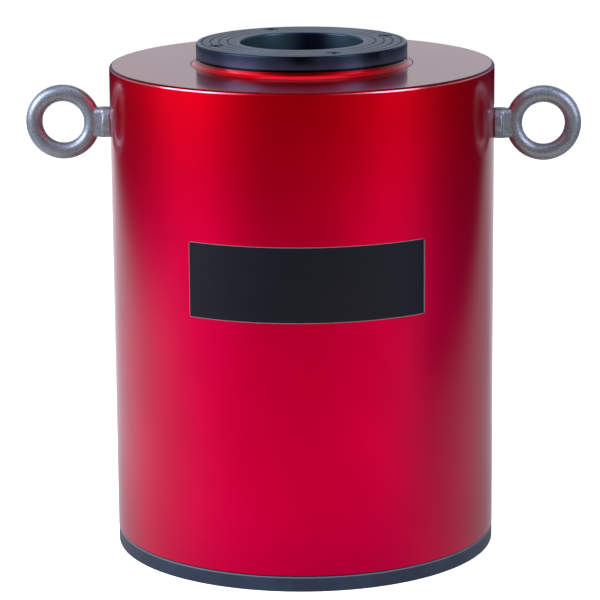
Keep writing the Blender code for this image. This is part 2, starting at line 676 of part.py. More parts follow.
def main():
    for old in list(bpy.data.objects):
        bpy.data.objects.remove(old)

    red = material("red_anodised_aluminium", (0.56, 0.004, 0.035), 0.3, 0.9)
    black = material("black_oxide_steel", (0.03, 0.04, 0.055), 0.45, 0.8)
    head_steel = material("machined_steel", (0.45, 0.46, 0.47), 0.4, 1.0)
    chrome = material("hard_chrome", (0.7, 0.71, 0.73), 0.12, 1.0)
    forged = material("forged_steel", (0.3, 0.31, 0.32), 0.5, 0.9)
    spring_steel = material("spring_steel", (0.16, 0.16, 0.17), 0.45, 0.9)
    zinc = material("zinc_plated_steel", (0.5, 0.51, 0.52), 0.35, 1.0)
    rubber = material("seal_rubber", (0.02, 0.02, 0.022), 0.7, 0.0)
    guide = material("bronze_filled_guide", (0.3, 0.2, 0.1), 0.55, 0.0)
    backup = material("hard_backup_ring", (0.75, 0.72, 0.6), 0.5, 0.0)
    plastic = material("cap_plastic", (0.5, 0.01, 0.015), 0.45, 0.0)

    body = make_body(red)
    make_gland_rings(rubber, guide)
    make_base(black, head_steel, zinc, rubber, body)
    make_tube(chrome)
    plunger = make_plunger(chrome, rubber, guide, backup)
    make_saddle(black, zinc, plunger)
    make_spring(spring_steel)
    make_eyebolt("eyebolt_right", 0.0, forged, body)
    make_eyebolt("eyebolt_left", 180.0, forged, body)
    make_coupler(zinc, head_steel, plastic, body)


main()
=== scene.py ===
"""Hollow plunger cylinder: its visible pieces, finishes and studio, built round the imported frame.

Metres, +Z up. The label side faces -Y, the lifting eyes lie on X and the oil port is behind.
A turned piece is listed as an outline of (radius, height) points. A piece on the side of the body
is turned along its own Z, as the distance from the main axis, and then laid on its side.
"""

import json
import math

import bpy
from bpy.props import FloatProperty, FloatVectorProperty, IntProperty, PointerProperty
from mathutils import Matrix, Vector


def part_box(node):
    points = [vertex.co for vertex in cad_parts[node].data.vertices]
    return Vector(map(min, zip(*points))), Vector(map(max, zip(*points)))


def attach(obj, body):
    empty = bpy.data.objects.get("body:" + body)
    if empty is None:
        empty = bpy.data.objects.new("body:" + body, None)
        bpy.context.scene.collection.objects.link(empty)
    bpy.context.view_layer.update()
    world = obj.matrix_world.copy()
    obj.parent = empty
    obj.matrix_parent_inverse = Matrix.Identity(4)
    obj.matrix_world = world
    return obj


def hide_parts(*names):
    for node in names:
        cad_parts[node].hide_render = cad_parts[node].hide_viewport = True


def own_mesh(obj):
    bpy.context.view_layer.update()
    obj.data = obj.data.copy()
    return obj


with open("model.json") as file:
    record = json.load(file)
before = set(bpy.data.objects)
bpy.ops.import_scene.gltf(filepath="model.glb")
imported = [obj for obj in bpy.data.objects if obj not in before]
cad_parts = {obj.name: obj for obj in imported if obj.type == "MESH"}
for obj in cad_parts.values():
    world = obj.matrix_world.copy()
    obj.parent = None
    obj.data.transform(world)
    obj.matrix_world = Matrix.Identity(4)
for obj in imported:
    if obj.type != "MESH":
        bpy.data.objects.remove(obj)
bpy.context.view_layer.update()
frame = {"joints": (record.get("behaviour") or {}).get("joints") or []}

bl_info = {
    "name": "Hollow plunger cylinder",
    "version": (1, 0, 0),
    "blender": (4, 5, 0),
    "location": "3D View > Sidebar > Cylinder",
    "description": "Models the pieces, finishes and studio of a hollow plunger cylinder",
    "category": "Add Mesh",
}

MM = 0.001

# How finely round pieces are turned
LARGE_STEPS = 192
INNER_STEPS = 128
SMALL_STEPS = 64
SCREW_STEPS = 36

SEAT_GAP = 0.3 * MM             # between faces that rest on each other
THREAD_GAP = 0.4 * MM           # round a screw or a threaded nose
WELD = 0.001 * MM
SHARP = math.radians(32)        # edges steeper than this stay sharp

# Where the finished pieces of the frame stand
BODY_LOW, BODY_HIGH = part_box("cylinder_body")
PLATE_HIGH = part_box("base_plate")[1]
SADDLE_LOW, SADDLE_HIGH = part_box("saddle")
ROD_LOW, ROD_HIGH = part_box("plunger")
TUBE_LOW, TUBE_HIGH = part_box("centre_tube")
EYE_LOW, EYE_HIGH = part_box("eyebolt_right")
SPRING_LOW, SPRING_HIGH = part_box("return_spring")


def length(name, description, default):
    """A size in metres that a user can change."""
    return FloatProperty(
        name=name, description=description, default=default, min=0.0, precision=5,
        subtype="DISTANCE", unit="LENGTH",
    )


def colour(name, description, default):
    """A linear colour that a user can change."""
    return FloatVectorProperty(
        name=name, description=description, default=default, size=3, min=0.0, max=1.0,
        subtype="COLOR",
    )


class BodySizes(bpy.types.PropertyGroup):
    """Sizes of the red cylinder body"""

    radius: length("Body radius", "Radius of the body's side", BODY_HIGH.y)
    top: length("Top face", "Height of the body's top face", 351.0 * MM)
    rim_bevel: length("Rim bevel", "Bevel between the side and the top face", 2.2 * MM)
    foot_bevel: length("Foot bevel", "Bevel at the foot of the side", 0.8 * MM)
    collar: length("Collar radius", "Outside of the raised ring round the plunger", 80.0 * MM)
    gland: length("Gland radius", "Bore of the top wall round the plunger", 75.0 * MM)
    bore: length("Bore radius", "Pressure bore", 98.5 * MM)
    pocket: length("Pocket radius", "Spring pocket over the stop ledge", 94.0 * MM)
    thread: length("Thread radius", "Seat of the bottom head", 103.0 * MM)


class BaseSizes(bpy.types.PropertyGroup):
    """Sizes of the base plate, the bottom head and the centre tube"""

    plate: length("Plate radius", "Outside of the base plate", PLATE_HIGH.y)
    plate_hole: length("Plate hole", "Hole round the centre tube", 41.5 * MM)
    plate_bevel: length("Plate bevel", "Bevel on the plate's edges", 0.9 * MM)
    screw_circle: length("Screw circle", "Radius of the circle of base screws", 120.0 * MM)
    tube: length("Tube radius", "Outside of the centre tube", 50.0 * MM)
    tube_hole: length("Tube hole", "Hole through the centre tube", 40.0 * MM)
    flange: length("Flange radius", "Flange at the tube's foot", TUBE_HIGH.y)


class PlungerSizes(bpy.types.PropertyGroup):
    """Sizes of the plunger and the saddle"""

    rod: length("Rod radius", "Outside of the plunger rod", 74.5 * MM)
    hole: length("Rod hole", "Hole through the plunger rod", 52.0 * MM)
    piston_hole: length("Piston hole", "Hole of the piston round the centre tube", 50.5 * MM)
    piston: length("Piston radius", "Outside of the piston", 98.2 * MM)
    piston_top: length("Piston top", "Height of the piston's upper face", 108.0 * MM)
    saddle: length("Saddle radius", "Outside of the saddle", SADDLE_HIGH.y)
    saddle_hole: length("Saddle hole", "Hole through the saddle", 44.0 * MM)
    groove_pitch: length("Groove pitch", "Between two grooves of the saddle", 6.1 * MM)
    groove_depth: length("Groove depth", "Depth of the saddle's grooves", 0.8 * MM)
    groove_width: length("Groove width", "Width of the saddle's grooves", 1.1 * MM)


class FittingSizes(bpy.types.PropertyGroup):
    """Sizes of the lifting eyes, the coupler and the label"""

    eye_hole: length("Eye hole", "Diameter of the hole of a lifting eye", 30.5 * MM)
    eye_bar: length("Eye bar", "Thickness of the bar round the hole", 11.7 * MM)
    eye_neck: length("Eye neck", "Diameter of the eye's round collar", 22.3 * MM)
    hexagon: length("Hexagon", "Width of the coupler's hexagon across its flats", 27.0 * MM)
    barrel: length("Barrel radius", "Outside of the coupler's barrel", 12.4 * MM)
    cap: length("Cap radius", "Outside of the dust cap", 15.0 * MM)
    label_low: length("Label foot", "Height of the label's lower edge", 192.1 * MM)
    label_high: length("Label head", "Height of the label's upper edge", 245.1 * MM)
    label_film: length("Label film", "Thickness of the label", 0.09 * MM)
    cap_ribs: IntProperty(name="Cap ribs", description="Ribs round the cap", default=24, min=3)


class Colours(bpy.types.PropertyGroup):
    """Colours of the finishes"""

    red: colour("Red dye", "Anodised body near its foot", (0.80, 0.0, 0.068))
    red_high: colour("Upper red dye", "Anodised body near its top", (0.78, 0.0, 0.011))
    black: colour("Black oxide", "Saddle", (0.018, 0.028, 0.048))
    blued: colour("Blued steel", "Base plate", (0.012, 0.020, 0.036))
    forged: colour("Forged steel", "Lifting eyes", (0.27, 0.315, 0.36))
    label: colour("Label", "Printed face of the label", (0.0022, 0.0028, 0.0055))
    film_edge: colour("Film edge", "Cut edge of the label", (0.55, 0.42, 0.45))
    cap: colour("Cap", "Dust cap", (0.50, 0.010, 0.014))


class CylinderLooks(bpy.types.PropertyGroup):
    """All that a user can change"""

    body: PointerProperty(type=BodySizes)
    base: PointerProperty(type=BaseSizes)
    plunger: PointerProperty(type=PlungerSizes)
    fittings: PointerProperty(type=FittingSizes)
    colours: PointerProperty(type=Colours)


# Shader maths

class Wire:
    """An output of a shader node. Python's operators on it add Math nodes."""

    def __init__(self, tree, socket):
        self.tree = tree
        self.socket = socket

    def maths(self, operation, first, second=0.0):
        return self.tree.node("Math", {0: first, 1: second}, operation=operation)

    def __add__(self, other):
        return self.maths("ADD", self, other)

    def __radd__(self, other):
        return self.maths("ADD", other, self)

    def __sub__(self, other):
        return self.maths("SUBTRACT", self, other)

    def __rsub__(self, other):
        return self.maths("SUBTRACT", other, self)

    def __mul__(self, other):
        return self.maths("MULTIPLY", self, other)

    def __truediv__(self, other):
        return self.maths("DIVIDE", self, other)

    def __pow__(self, other):
        return self.maths("POWER", self, other)

    def __abs__(self):
        return self.maths("ABSOLUTE", self)


class Tree:
    """A shader's node tree, filled by Python expressions."""

    def __init__(self, owner):
        owner.use_nodes = True
        self.owner = owner
        self.tree = owner.node_tree
        self.tree.nodes.clear()

    def node(self, kind, values=None, output=0, **settings):
        """Add a ShaderNode of this kind, set it up, feed its sockets, and return an output."""
        made = self.tree.nodes.new("ShaderNode" + kind)
        for name, value in settings.items():
            setattr(made, name, value)
        for socket, value in (values or {}).items():
            if isinstance(value, Wire):
                self.tree.links.new(value.socket, made.inputs[socket])
            else:
                made.inputs[socket].default_value = value
        return Wire(self, made.outputs[output]) if made.outputs else made

    def place(self):
        """X, Y and Z of the surface point in the object's own space."""
        point = self.node("TexCoord", output="Object")
        return [self.node("SeparateXYZ", {0: point}, axis) for axis in range(3)]

    def radius(self):
        """Distance of the surface point from the object's Z axis."""
        x, y, _ = self.place()
        return (x * x + y * y) ** 0.5

    def noise(self, place, scale, detail=3.0, rough=0.5):
        """Noise from 0 to 1 at X, Y and Z, with this many waves in a metre."""
        point = self.node("CombineXYZ", dict(enumerate(place)))
        values = {"Vector": point, "Scale": scale, "Detail": detail, "Roughness": rough}
        return self.node("TexNoise", values)

    def rise(self, value, low, high, start=0.0, end=1.0):
        """A soft step from start to end as the value goes from low to high."""
        values = {"Value": value, "From Min": low, "From Max": high, "To Min": start, "To Max": end}
        return self.node("MapRange", values, interpolation_type="SMOOTHSTEP")

    def mix(self, factor, first, second):
        """Blend two colours."""
        first, second = (
            value if isinstance(value, Wire) else (*value, 1.0) for value in (first, second)
        )
        return self.node("Mix", {0: factor, 6: first, 7: second}, 2, data_type="RGBA")

    def bump(self, height, depth):
        """A normal from a height of 0 to 1 and its real depth."""
        return self.node("Bump", {"Height": height, "Distance": depth})

    def surface(self, values):
        """Link a Principled shader to the output, and return the material."""
        self.node("OutputMaterial", {"Surface": self.node("BsdfPrincipled", values)})
        return self.owner


def finish(name):
    """The tree of a new material."""
    return Tree(bpy.data.materials.new(name))


def colours():
    """The colours that a user can change."""
    return bpy.context.scene.cylinder_looks.colours


# Where the finishes change
DYE_SPAN = (190 * MM, 355 * MM)     # heights between which the dye turns into the upper dye
TOP_FACE_SHADE_FADE = (-134 * MM, -95 * MM)   # along Y: the painted shade on the top face is lightest at its front edge
RIM_HIGHLIGHT_SPAN = (20 * MM, 60 * MM)      # the rim's painted highlight lies beside the middle, not in it
SMUDGES_AND_SHADE = (                         # smudges and painted shade on the saddle's side: X, start and end of the fade
    (4 * MM, 12 * MM, 32 * MM),
    (52 * MM, 10 * MM, 28 * MM),
)
SMUDGE_AND_SHADE_RAGGED = 24 * MM
HOLE_SHADOW = 6 * MM                # X at which the wall of the saddle's hole is darkest


def turning_marks(tree, waves):
    """Fine lines left by a lathe: round a side, and in circles on a face."""
    x, y, z = tree.place()
    return tree.noise((x * 3.0, y * 3.0, (z + tree.radius()) * waves), 1.0, 4.0, 0.6)


def red_anodised():
    """Dyed oxide over turned aluminium: a soft metal lobe under a clear skin, with painted shade round
    its top and foot and a painted highlight on its rim.
    """
    tree = finish("red_anodised_aluminium")
    x, y, z = tree.place()
    cloud = tree.noise((x, y, z * 0.7), 9.0, 3.0, 0.55)
    marks = turning_marks(tree, 900.0)
    speck = tree.noise((x, y, z), 1500.0, 2.0)
    facing = tree.node("LayerWeight", {"Blend": 0.5}, "Facing")
    dye = tree.mix(tree.rise(z, *DYE_SPAN), colours().red, colours().red_high)
    size = bpy.context.scene.cylinder_looks.body
    radius = tree.radius()
    upward = tree.rise(z, size.top - 0.3 * MM, size.top - 0.1 * MM)
    flare = size.collar - FLARE_IN
    # Painted shade on the top face round the collar, lightest at its front edge; a thin ring at the
    # collar's foot loses most of its clear coat, so it stays dark.
    face = upward * tree.rise(radius, flare, flare + 0.1 * MM)
    line = face * tree.rise(radius, flare + 0.5 * MM, flare + 1.2 * MM, 1.0, 0.0)
    face = face * (0.5 - tree.rise(y, *TOP_FACE_SHADE_FADE, 0.4, 0.0))
    # Painted shade on the collar's wall, under the saddle.
    wall = tree.rise(z, size.top + 1.4 * MM, size.top + 2.8 * MM)
    # Painted shadow of the seam on the body's foot, over the base plate.
    foot = tree.rise(z, PLATE_HIGH.z + 0.6 * MM, PLATE_HIGH.z + 1.1 * MM, 1.0, 0.0)
    # The rim's bevel: a painted highlight, pinker and less rough, on its lower part beside the middle;
    # painted shade on its upper part, which also loses most of its clear coat.
    low, near = size.top - size.rim_bevel, size.radius - size.rim_bevel
    outer = tree.rise(radius, near, near + 0.1 * MM)
    bevel = outer * tree.rise(z, low, low + 0.2 * MM)
    upper = outer * tree.rise(z, size.top - 1.3 * MM, size.top - 1.0 * MM)
    painted_rim_highlight = (bevel - upper) * tree.rise(abs(x), *RIM_HIGHLIGHT_SPAN)
    dye = tree.mix(painted_rim_highlight * 0.4, dye, (0.95, 0.45, 0.55))
    # Painted shade: the top face, the collar's wall, the body's foot over the base plate and the rim's
    # upper bevel are mixed towards black.
    dye = tree.mix(face + wall * 0.8 + foot * 0.9 + upper * 0.7, dye, (0.0, 0.0, 0.0))
    deep = tree.mix(0.16, dye, (0.0, 0.0, 0.0))
    return tree.surface({
        "Base Color": tree.mix(tree.rise(cloud, 0.35, 0.7), dye, deep),
        "Metallic": 1.0,
        "Roughness": 0.40 + marks * 0.05 + speck * 0.02 - painted_rim_highlight * 0.24,
        "Specular Tint": (0.16, 0.0, 0.60, 1.0),
        "Coat Weight": tree.rise(facing, 0.06, 0.64) * (1.0 - line * 0.85) * (1.0 - upper * 0.7),
        "Coat Roughness": 0.15,
        "Coat IOR": 1.5,
        "Normal": tree.bump(marks, 0.0035 * MM),
    })


def black_oxide():
    """Turned steel with a blackened skin, worn a little on its edges, which also carry a painted
    highlight; its side and hole carry painted shade and painted light.
    """
    tree = finish("black_oxide_steel")
    x, y, z = tree.place()
    patch = tree.noise((x, y, z), 55.0, 4.0, 0.6)
    grain = tree.noise((x, y, z), 1300.0, 2.0)
    marks = turning_marks(tree, 1100.0)
    worn = tree.rise(patch * 0.6 + grain * 0.4, 0.50, 0.74)
    lighter = tuple(0.004 + 1.4 * value for value in colours().black)
    size = bpy.context.scene.cylinder_looks.plunger
    radius = tree.radius()
    # The rims of the top face are lighter: worn, and with a painted highlight.
    rims = tree.rise(radius, size.saddle - 2.0 * MM, size.saddle - 1.5 * MM)
    rims = rims + tree.rise(radius, size.saddle_hole + 1.3 * MM, size.saddle_hole + 1.7 * MM, 1.0, 0.0)
    edge = rims * tree.rise(z, SADDLE_HIGH.z - 0.4 * MM, SADDLE_HIGH.z - 0.2 * MM)
    # Painted shade on the saddle's side, along its foot and just under its top edge; at the front, ragged
    # dark bands that are smudges and painted shade.
    side = tree.rise(radius, size.saddle - 1.3 * MM, size.saddle - 0.9 * MM)
    low = tree.rise(z, SADDLE_HIGH.z - 9.5 * MM, SADDLE_HIGH.z - 2.5 * MM, 1.0, 0.0)
    foot = tree.rise(z, SADDLE_HIGH.z - 10.2 * MM, SADDLE_HIGH.z - 9.4 * MM, 1.0, 0.0)
    head = tree.rise(z, SADDLE_HIGH.z - 1.8 * MM, SADDLE_HIGH.z - 0.7 * MM)
    cloud = tree.noise((x, y, z * 2.0), 120.0, 3.0)
    smudge_and_shade = sum(
        tree.rise(abs(x - middle) + cloud * SMUDGE_AND_SHADE_RAGGED, near, far, 1.0, 0.0)
        for middle, near, far in SMUDGES_AND_SHADE
    )
    smudge_and_shade = smudge_and_shade * tree.rise(y, -20 * MM, -10 * MM, 1.0, 0.0) * (1.0 - low * 0.7)
    dark = side * tree.rise(foot + head * 0.6 + smudge_and_shade * 0.8, 0.0, 1.0)
    # The wall of the hole: painted shade, darkest at HOLE_SHADOW, with painted teal light to either side.
    inner = tree.rise(radius, size.saddle_hole + 0.2 * MM, size.saddle_hole + 0.6 * MM, 1.0, 0.0)
    lit = tree.rise(abs(x - HOLE_SHADOW), 4 * MM, 24 * MM)
    skin = tree.mix(worn, colours().black, lighter)
    # Painted reflection of the body's top face: the side is lighter towards its foot.
    skin = tree.mix(side * low * 0.25, skin, (0.10, 0.09, 0.13))
    skin = tree.mix(dark, skin, (0.0, 0.0, 0.0))
    skin = tree.mix(inner * 0.85, skin, tree.mix(lit, (0.0, 0.0, 0.002), (0.030, 0.060, 0.075)))
    return tree.surface({
        "Base Color": tree.mix(edge * 0.45, skin, (0.22, 0.30, 0.33)),
        "Metallic": 0.5,
        "Roughness": 0.24 + patch * 0.08 + marks * 0.05,
        "Specular IOR Level": 0.38,
        "Specular Tint": (0.44, 0.56, 0.74, 1.0),
        "Normal": tree.bump(marks * 0.6 + grain * 0.4, 0.006 * MM),
    })


def base_black():
    """The base plate's blue-black skin, with a painted highlight along its top edge."""
    tree = finish("blued_base_plate")
    x, y, z = tree.place()
    patch = tree.noise((x, y, z), 40.0, 4.0, 0.6)
    grain = tree.noise((x, y, z), 1200.0, 2.0)
    marks = turning_marks(tree, 1100.0)
    lighter = tuple(1.5 * value for value in colours().blued)
    # Painted highlight along the plate's top edge.
    edge = tree.rise(z, PLATE_HIGH.z - 1.1 * MM, PLATE_HIGH.z - 0.7 * MM)
    skin = tree.mix(tree.rise(patch, 0.4, 0.7), colours().blued, lighter)
    return tree.surface({
        "Base Color": tree.mix(edge * 0.5, skin, (0.20, 0.23, 0.27)),
        "Metallic": 0.0,
        "Roughness": 0.42 + grain * 0.1,
        "Specular Tint": (0.70, 0.84, 1.0, 1.0),
        "Normal": tree.bump(marks * 0.5 + grain * 0.5, 0.010 * MM),
    })


def black_screw():
    """Blackened screw, a little shinier than the saddle, with painted shade in its socket."""
    tree = finish("black_screw_steel")
    x, y, z = tree.place()
    grain = tree.noise((x, y, z), 900.0, 3.0)
    # Painted shade: the hexagon socket below the head's face is black, and rough.
    socket = tree.rise(z, SADDLE_HIGH.z - 0.9 * MM, SADDLE_HIGH.z - 0.5 * MM, 1.0, 0.0)
    lighter = tuple(0.002 + 1.3 * value for value in colours().black)
    face = tree.mix(grain, colours().black, lighter)
    return tree.surface({
        "Base Color": tree.mix(socket, face, (0.0, 0.0, 0.0)),
        "Metallic": 0.5,
        "Roughness": 0.30 + grain * 0.08 + socket * 0.5,
        "Specular Tint": (0.42, 0.54, 0.70, 1.0),
        "Normal": tree.bump(grain, 0.010 * MM),
    })


def forged_steel():
    """Drop-forged steel, tumbled: pebbled grey with dark scale left in its hollows."""
    tree = finish("forged_steel")
    x, y, z = tree.place()
    point = (x, y, z)
    pebble = tree.noise(point, 900.0, 3.0, 0.55)
    grain = tree.noise(point, 2600.0, 2.0)
    scale = tree.noise(point, 90.0, 4.0, 0.6)
    pit = tree.rise(pebble * 0.45 + grain * 0.35 + scale * 0.2, 0.36, 0.58)
    dark = tuple(0.45 * value for value in colours().forged)
    return tree.surface({
        "Base Color": tree.mix(pit, dark, colours().forged),
        "Metallic": 0.7,
        "Roughness": 0.44 - pit * 0.08 + grain * 0.06,
        "Normal": tree.bump(pebble * 0.5 + grain * 0.5, 0.09 * MM),
    })


def hard_chrome():
    """Ground and chromed steel."""
    tree = finish("hard_chrome")
    marks = turning_marks(tree, 1500.0)
    x, y, z = tree.place()
    haze = tree.noise((x, y, z), 30.0, 3.0)
    return tree.surface({
        "Base Color": tree.mix(haze, (0.66, 0.68, 0.71), (0.76, 0.77, 0.79)),
        "Metallic": 1.0,
        "Roughness": 0.10 + haze * 0.06 + marks * 0.04,
        "Normal": tree.bump(marks, 0.002 * MM),
    })


def plain_steel(name, low, high, rough, waves, depth):
    """A turned or plated steel with fine marks and slightly cloudy colour."""
    tree = finish(name)
    x, y, z = tree.place()
    haze = tree.noise((x, y, z), 120.0, 3.0)
    marks = turning_marks(tree, waves)
    return tree.surface({
        "Base Color": tree.mix(haze, low, high),
        "Metallic": 1.0,
        "Roughness": rough + haze * 0.1 + marks * 0.06,
        "Normal": tree.bump(marks, depth),
    })


def machined_steel():
    return plain_steel("machined_steel", (0.38, 0.39, 0.40), (0.52, 0.53, 0.54), 0.30, 1300.0, 0.006 * MM)


def zinc_plate():
    return plain_steel("zinc_plate", (0.46, 0.48, 0.50), (0.66, 0.67, 0.66), 0.24, 1800.0, 0.004 * MM)


def spring_steel():
    return plain_steel("spring_steel", (0.10, 0.10, 0.11), (0.22, 0.22, 0.23), 0.36, 700.0, 0.010 * MM)


def soft_solid(name, low, high, rough, waves, depth):
    """Rubber, guide strip or plastic: no metal, a fine moulded grain."""
    tree = finish(name)
    x, y, z = tree.place()
    point = (x, y, z)
    grain = tree.noise(point, waves, 3.0)
    patch = tree.noise(point, 60.0, 2.0)
    return tree.surface({
        "Base Color": tree.mix(patch * 0.5 + grain * 0.5, low, high),
        "Metallic": 0.0,
        "Roughness": rough + grain * 0.12,
        "Normal": tree.bump(grain, depth),
    })


def seal_rubber():
    return soft_solid("seal_rubber", (0.012, 0.012, 0.013), (0.030, 0.030, 0.032), 0.55, 900.0, 0.02 * MM)


def guide_band():
    return soft_solid("guide_band", (0.20, 0.12, 0.05), (0.38, 0.25, 0.11), 0.48, 1500.0, 0.02 * MM)


def backup_ring():
    return soft_solid("backup_ring", (0.66, 0.62, 0.50), (0.80, 0.77, 0.66), 0.45, 700.0, 0.01 * MM)


def cap_plastic():
    red = colours().cap
    deep = tuple(0.75 * value for value in red)
    return soft_solid("cap_plastic", deep, red, 0.34, 1100.0, 0.02 * MM)


def label_print():
    """Satin black film, bare, with the pale line of its cut edge."""
    tree = finish("label_print")
    sizes = bpy.context.scene.cylinder_looks
    x, y, z = tree.place()
    turn = x.maths("ARCTAN2", x, y * -1.0)
    across = abs(turn - LABEL_TURN) * sizes.body.radius
    middle = (sizes.fittings.label_low + sizes.fittings.label_high) / 2
    half_width = LABEL_HALF * sizes.body.radius
    half_height = (sizes.fittings.label_high - sizes.fittings.label_low) / 2
    side = half_width - across
    end = half_height - abs(z - middle)
    edge = side.maths("MINIMUM", side, end)
    rim = 1.0 - tree.rise(edge, 0.20 * MM, 0.45 * MM)
    grain = tree.noise((x * 12.0, y * 12.0, z * 900.0), 1.0, 3.0)
    fleck = tree.noise((x, y, z), 700.0, 3.0)
    lighter = tuple(2.0 * value for value in colours().label)
    face = tree.mix(grain * 0.5 + fleck * 0.5, colours().label, lighter)
    return tree.surface({
        "Base Color": tree.mix(rim * 0.36, face, colours().film_edge),
        "Metallic": 0.0,
        "Roughness": 0.38 + grain * 0.08,
        "Specular IOR Level": 0.25,
        "Specular Tint": (0.80, 0.90, 1.0, 1.0),
        "Normal": tree.bump(grain, 0.003 * MM),
    })


# Modelling helpers

def start():
    """Leave nothing selected."""
    bpy.ops.object.select_all(action="DESELECT")


def pick(piece):
    """Make this the only selected piece."""
    start()
    piece.select_set(True)
    bpy.context.view_layer.objects.active = piece


def settle(piece):
    """Put a piece's place, turn and scale into its mesh."""
    pick(piece)
    bpy.ops.object.transform_apply(location=True, rotation=True, scale=True)
    return piece


def edit():
    """Go into edit mode with every edge selected."""
    bpy.ops.object.mode_set(mode="EDIT")
    bpy.ops.mesh.select_mode(type="EDGE")
    bpy.ops.mesh.select_all(action="SELECT")


def leave():
    """Go back to object mode."""
    bpy.ops.object.mode_set(mode="OBJECT")


def trim(place, outwards):
    """Cut off what lies on the outer side of a plane, and close the cut, in edit mode."""
    bpy.ops.mesh.select_all(action="SELECT")
    bpy.ops.mesh.bisect(plane_co=place, plane_no=outwards, use_fill=True, clear_outer=True)


def close_up(capped):
    """Fill the open ends and turn all faces outwards, in edit mode."""
    if capped:
        bpy.ops.mesh.fill_holes(sides=0)
    bpy.ops.mesh.select_all(action="SELECT")
    bpy.ops.mesh.normals_make_consistent(inside=False)


def use_modifier(piece, kind, **settings):
    """Add a modifier, set it and apply it."""
    pick(piece)
    bpy.ops.object.modifier_add(type=kind)
    modifier = piece.modifiers[-1]
    for name, value in settings.items():
        setattr(modifier, name, value)
    bpy.ops.object.modifier_apply(modifier=modifier.name)


def soften(piece, width, segments=2):
    """Round every sharp edge a little."""
    use_modifier(piece, "BEVEL", width=width, segments=segments, limit_method="ANGLE",
                 angle_limit=SHARP, use_clamp_overlap=True)


def cut(piece, helper, operation="DIFFERENCE"):
    """Cut a helper out of a piece, or join it on, and delete the helper."""
    use_modifier(piece, "BOOLEAN", operation=operation, solver="EXACT", object=helper)
    pick(helper)
    bpy.ops.object.delete()


def turned(name, outline, steps, capped=False, softened=0.0):
    """Turn an outline by extruding a circle along it, ring by ring."""
    start()
    radius, height = outline[0]
    bpy.ops.mesh.primitive_circle_add(vertices=steps, radius=radius, location=(0.0, 0.0, height))
    piece = bpy.context.object
    piece.name = name
    settle(piece)
    edit()
    following = outline[1:] if capped else [*outline[1:], outline[0]]
    for new_radius, new_height in following:
        move = (0.0, 0.0, new_height - height)
        bpy.ops.mesh.extrude_edges_move(TRANSFORM_OT_translate={"value": move})
        if abs(new_radius - radius) > WELD:
            share = new_radius / radius
            bpy.ops.transform.resize(value=(share, share, 1.0), center_override=(0.0, 0.0, 0.0))
        radius, height = new_radius, new_height
    bpy.ops.mesh.select_all(action="SELECT")
    bpy.ops.mesh.remove_doubles(threshold=WELD)
    close_up(capped)
    leave()
    if softened:
        soften(piece, softened)
    return piece


def lay(piece, turn, height):
    """Stand a turned piece on the body's side, at this turn round from +X."""
    piece.rotation_euler = (0.0, math.pi / 2, turn)
    piece.location = (0.0, 0.0, height)
    return settle(piece)


def shift(piece, place, turn=(0.0, 0.0, 0.0)):
    """Move a piece to its place."""
    piece.location = place
    piece.rotation_euler = turn
    return settle(piece)


def copy_of(piece, name):
    """A copy with its own mesh."""
    pick(piece)
    bpy.ops.object.duplicate()
    made = bpy.context.object
    made.name = name
    return made


def join(pieces, name):
    """Join separate shapes into one object."""
    pick(pieces[0])
    for piece in pieces[1:]:
        piece.select_set(True)
    bpy.ops.object.join()
    bpy.context.object.name = name
    return bpy.context.object


def dress(piece, material, slot, body, *nodes):
    """Shade a finished piece, give it its finish, and let it ride in place of its CAD nodes."""
    pick(piece)
    bpy.ops.object.shade_smooth_by_angle(angle=SHARP)
    use_modifier(piece, "WEIGHTED_NORMAL", keep_sharp=True, weight=60)
    piece.data.name = piece.name
    piece.data.materials.clear()
    piece.data.materials.append(material)
    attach(piece, body)
    if nodes:
        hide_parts(*nodes)
    return piece


def slot_in(wall, floor, first, last):
    """A groove in a turned wall, from its first edge to its last."""
    return [(wall, first), (floor, first), (floor, last), (wall, last)]


def ring_in(name, inner, outer, slot, softened):
    """A plain ring in a groove, with a gap at both of its ends."""
    low, high = min(slot) + SEAT_GAP, max(slot) - SEAT_GAP
    outline = [(inner, low), (outer, low), (outer, high), (inner, high)]
    return turned(name, outline, INNER_STEPS, softened=softened)


def joint(name):
    """What the frame says of a joint."""
    return next(each for each in frame["joints"] if each["name"] == name)


def flat_head_screw(name, shank, head, length_, key):
    """A flat-head screw with a hexagon socket, its head up with the face at height 0."""
    radius = shank / 2
    rim = head / 2
    edge = 0.3 * MM
    piece = turned(name, [
        (rim - 0.15 * MM, 0.0), (rim, -0.15 * MM), (rim, -edge), (radius, -edge - (rim - radius)),
        (radius, -length_ + radius / 3), (radius * 0.7, -length_),
    ], SCREW_STEPS, capped=True)
    start()
    depth = rim - radius + edge
    bpy.ops.mesh.primitive_cylinder_add(
        vertices=6, radius=key / 2 / math.cos(math.pi / 6), depth=2 * depth, location=(0.0, 0.0, 0.0),
    )
    cut(piece, settle(bpy.context.object))
    return piece


def screw_hole(name, shank, head, length_):
    """The countersunk hole of such a screw."""
    radius = shank / 2 + THREAD_GAP
    rim = head / 2 + 0.25 * MM
    edge = 0.3 * MM
    return turned(name, [
        (rim, 2.0 * MM), (rim, -edge), (radius, -edge - (rim - radius)), (radius, -length_ - 2.0 * MM),
    ], SCREW_STEPS, capped=True)


def drill(piece, places, screw, height, turn=0.0):
    """Cut the countersunk holes of a ring of screws."""
    holes = [shift(screw_hole("hole", *screw), (x, y, height), (turn, 0.0, 0.0)) for _, x, y in places]
    cut(piece, join(holes, "holes"))


def screw_on(name, screw, key, places, height, turn, twist, look):
    """Put like screws in their places. The look is material, slot, body and the nodes' first words."""
    material, slot, body, node = look
    first = flat_head_screw(name, *screw, key)
    for number, x, y in places:
        bolt = copy_of(first, f"{name}_{number}")
        shift(bolt, (x, y, height), (turn, 0.0, twist * number))
        dress(bolt, material, slot, body, f"{node}_{number}")
    pick(first)
    bpy.ops.object.delete()


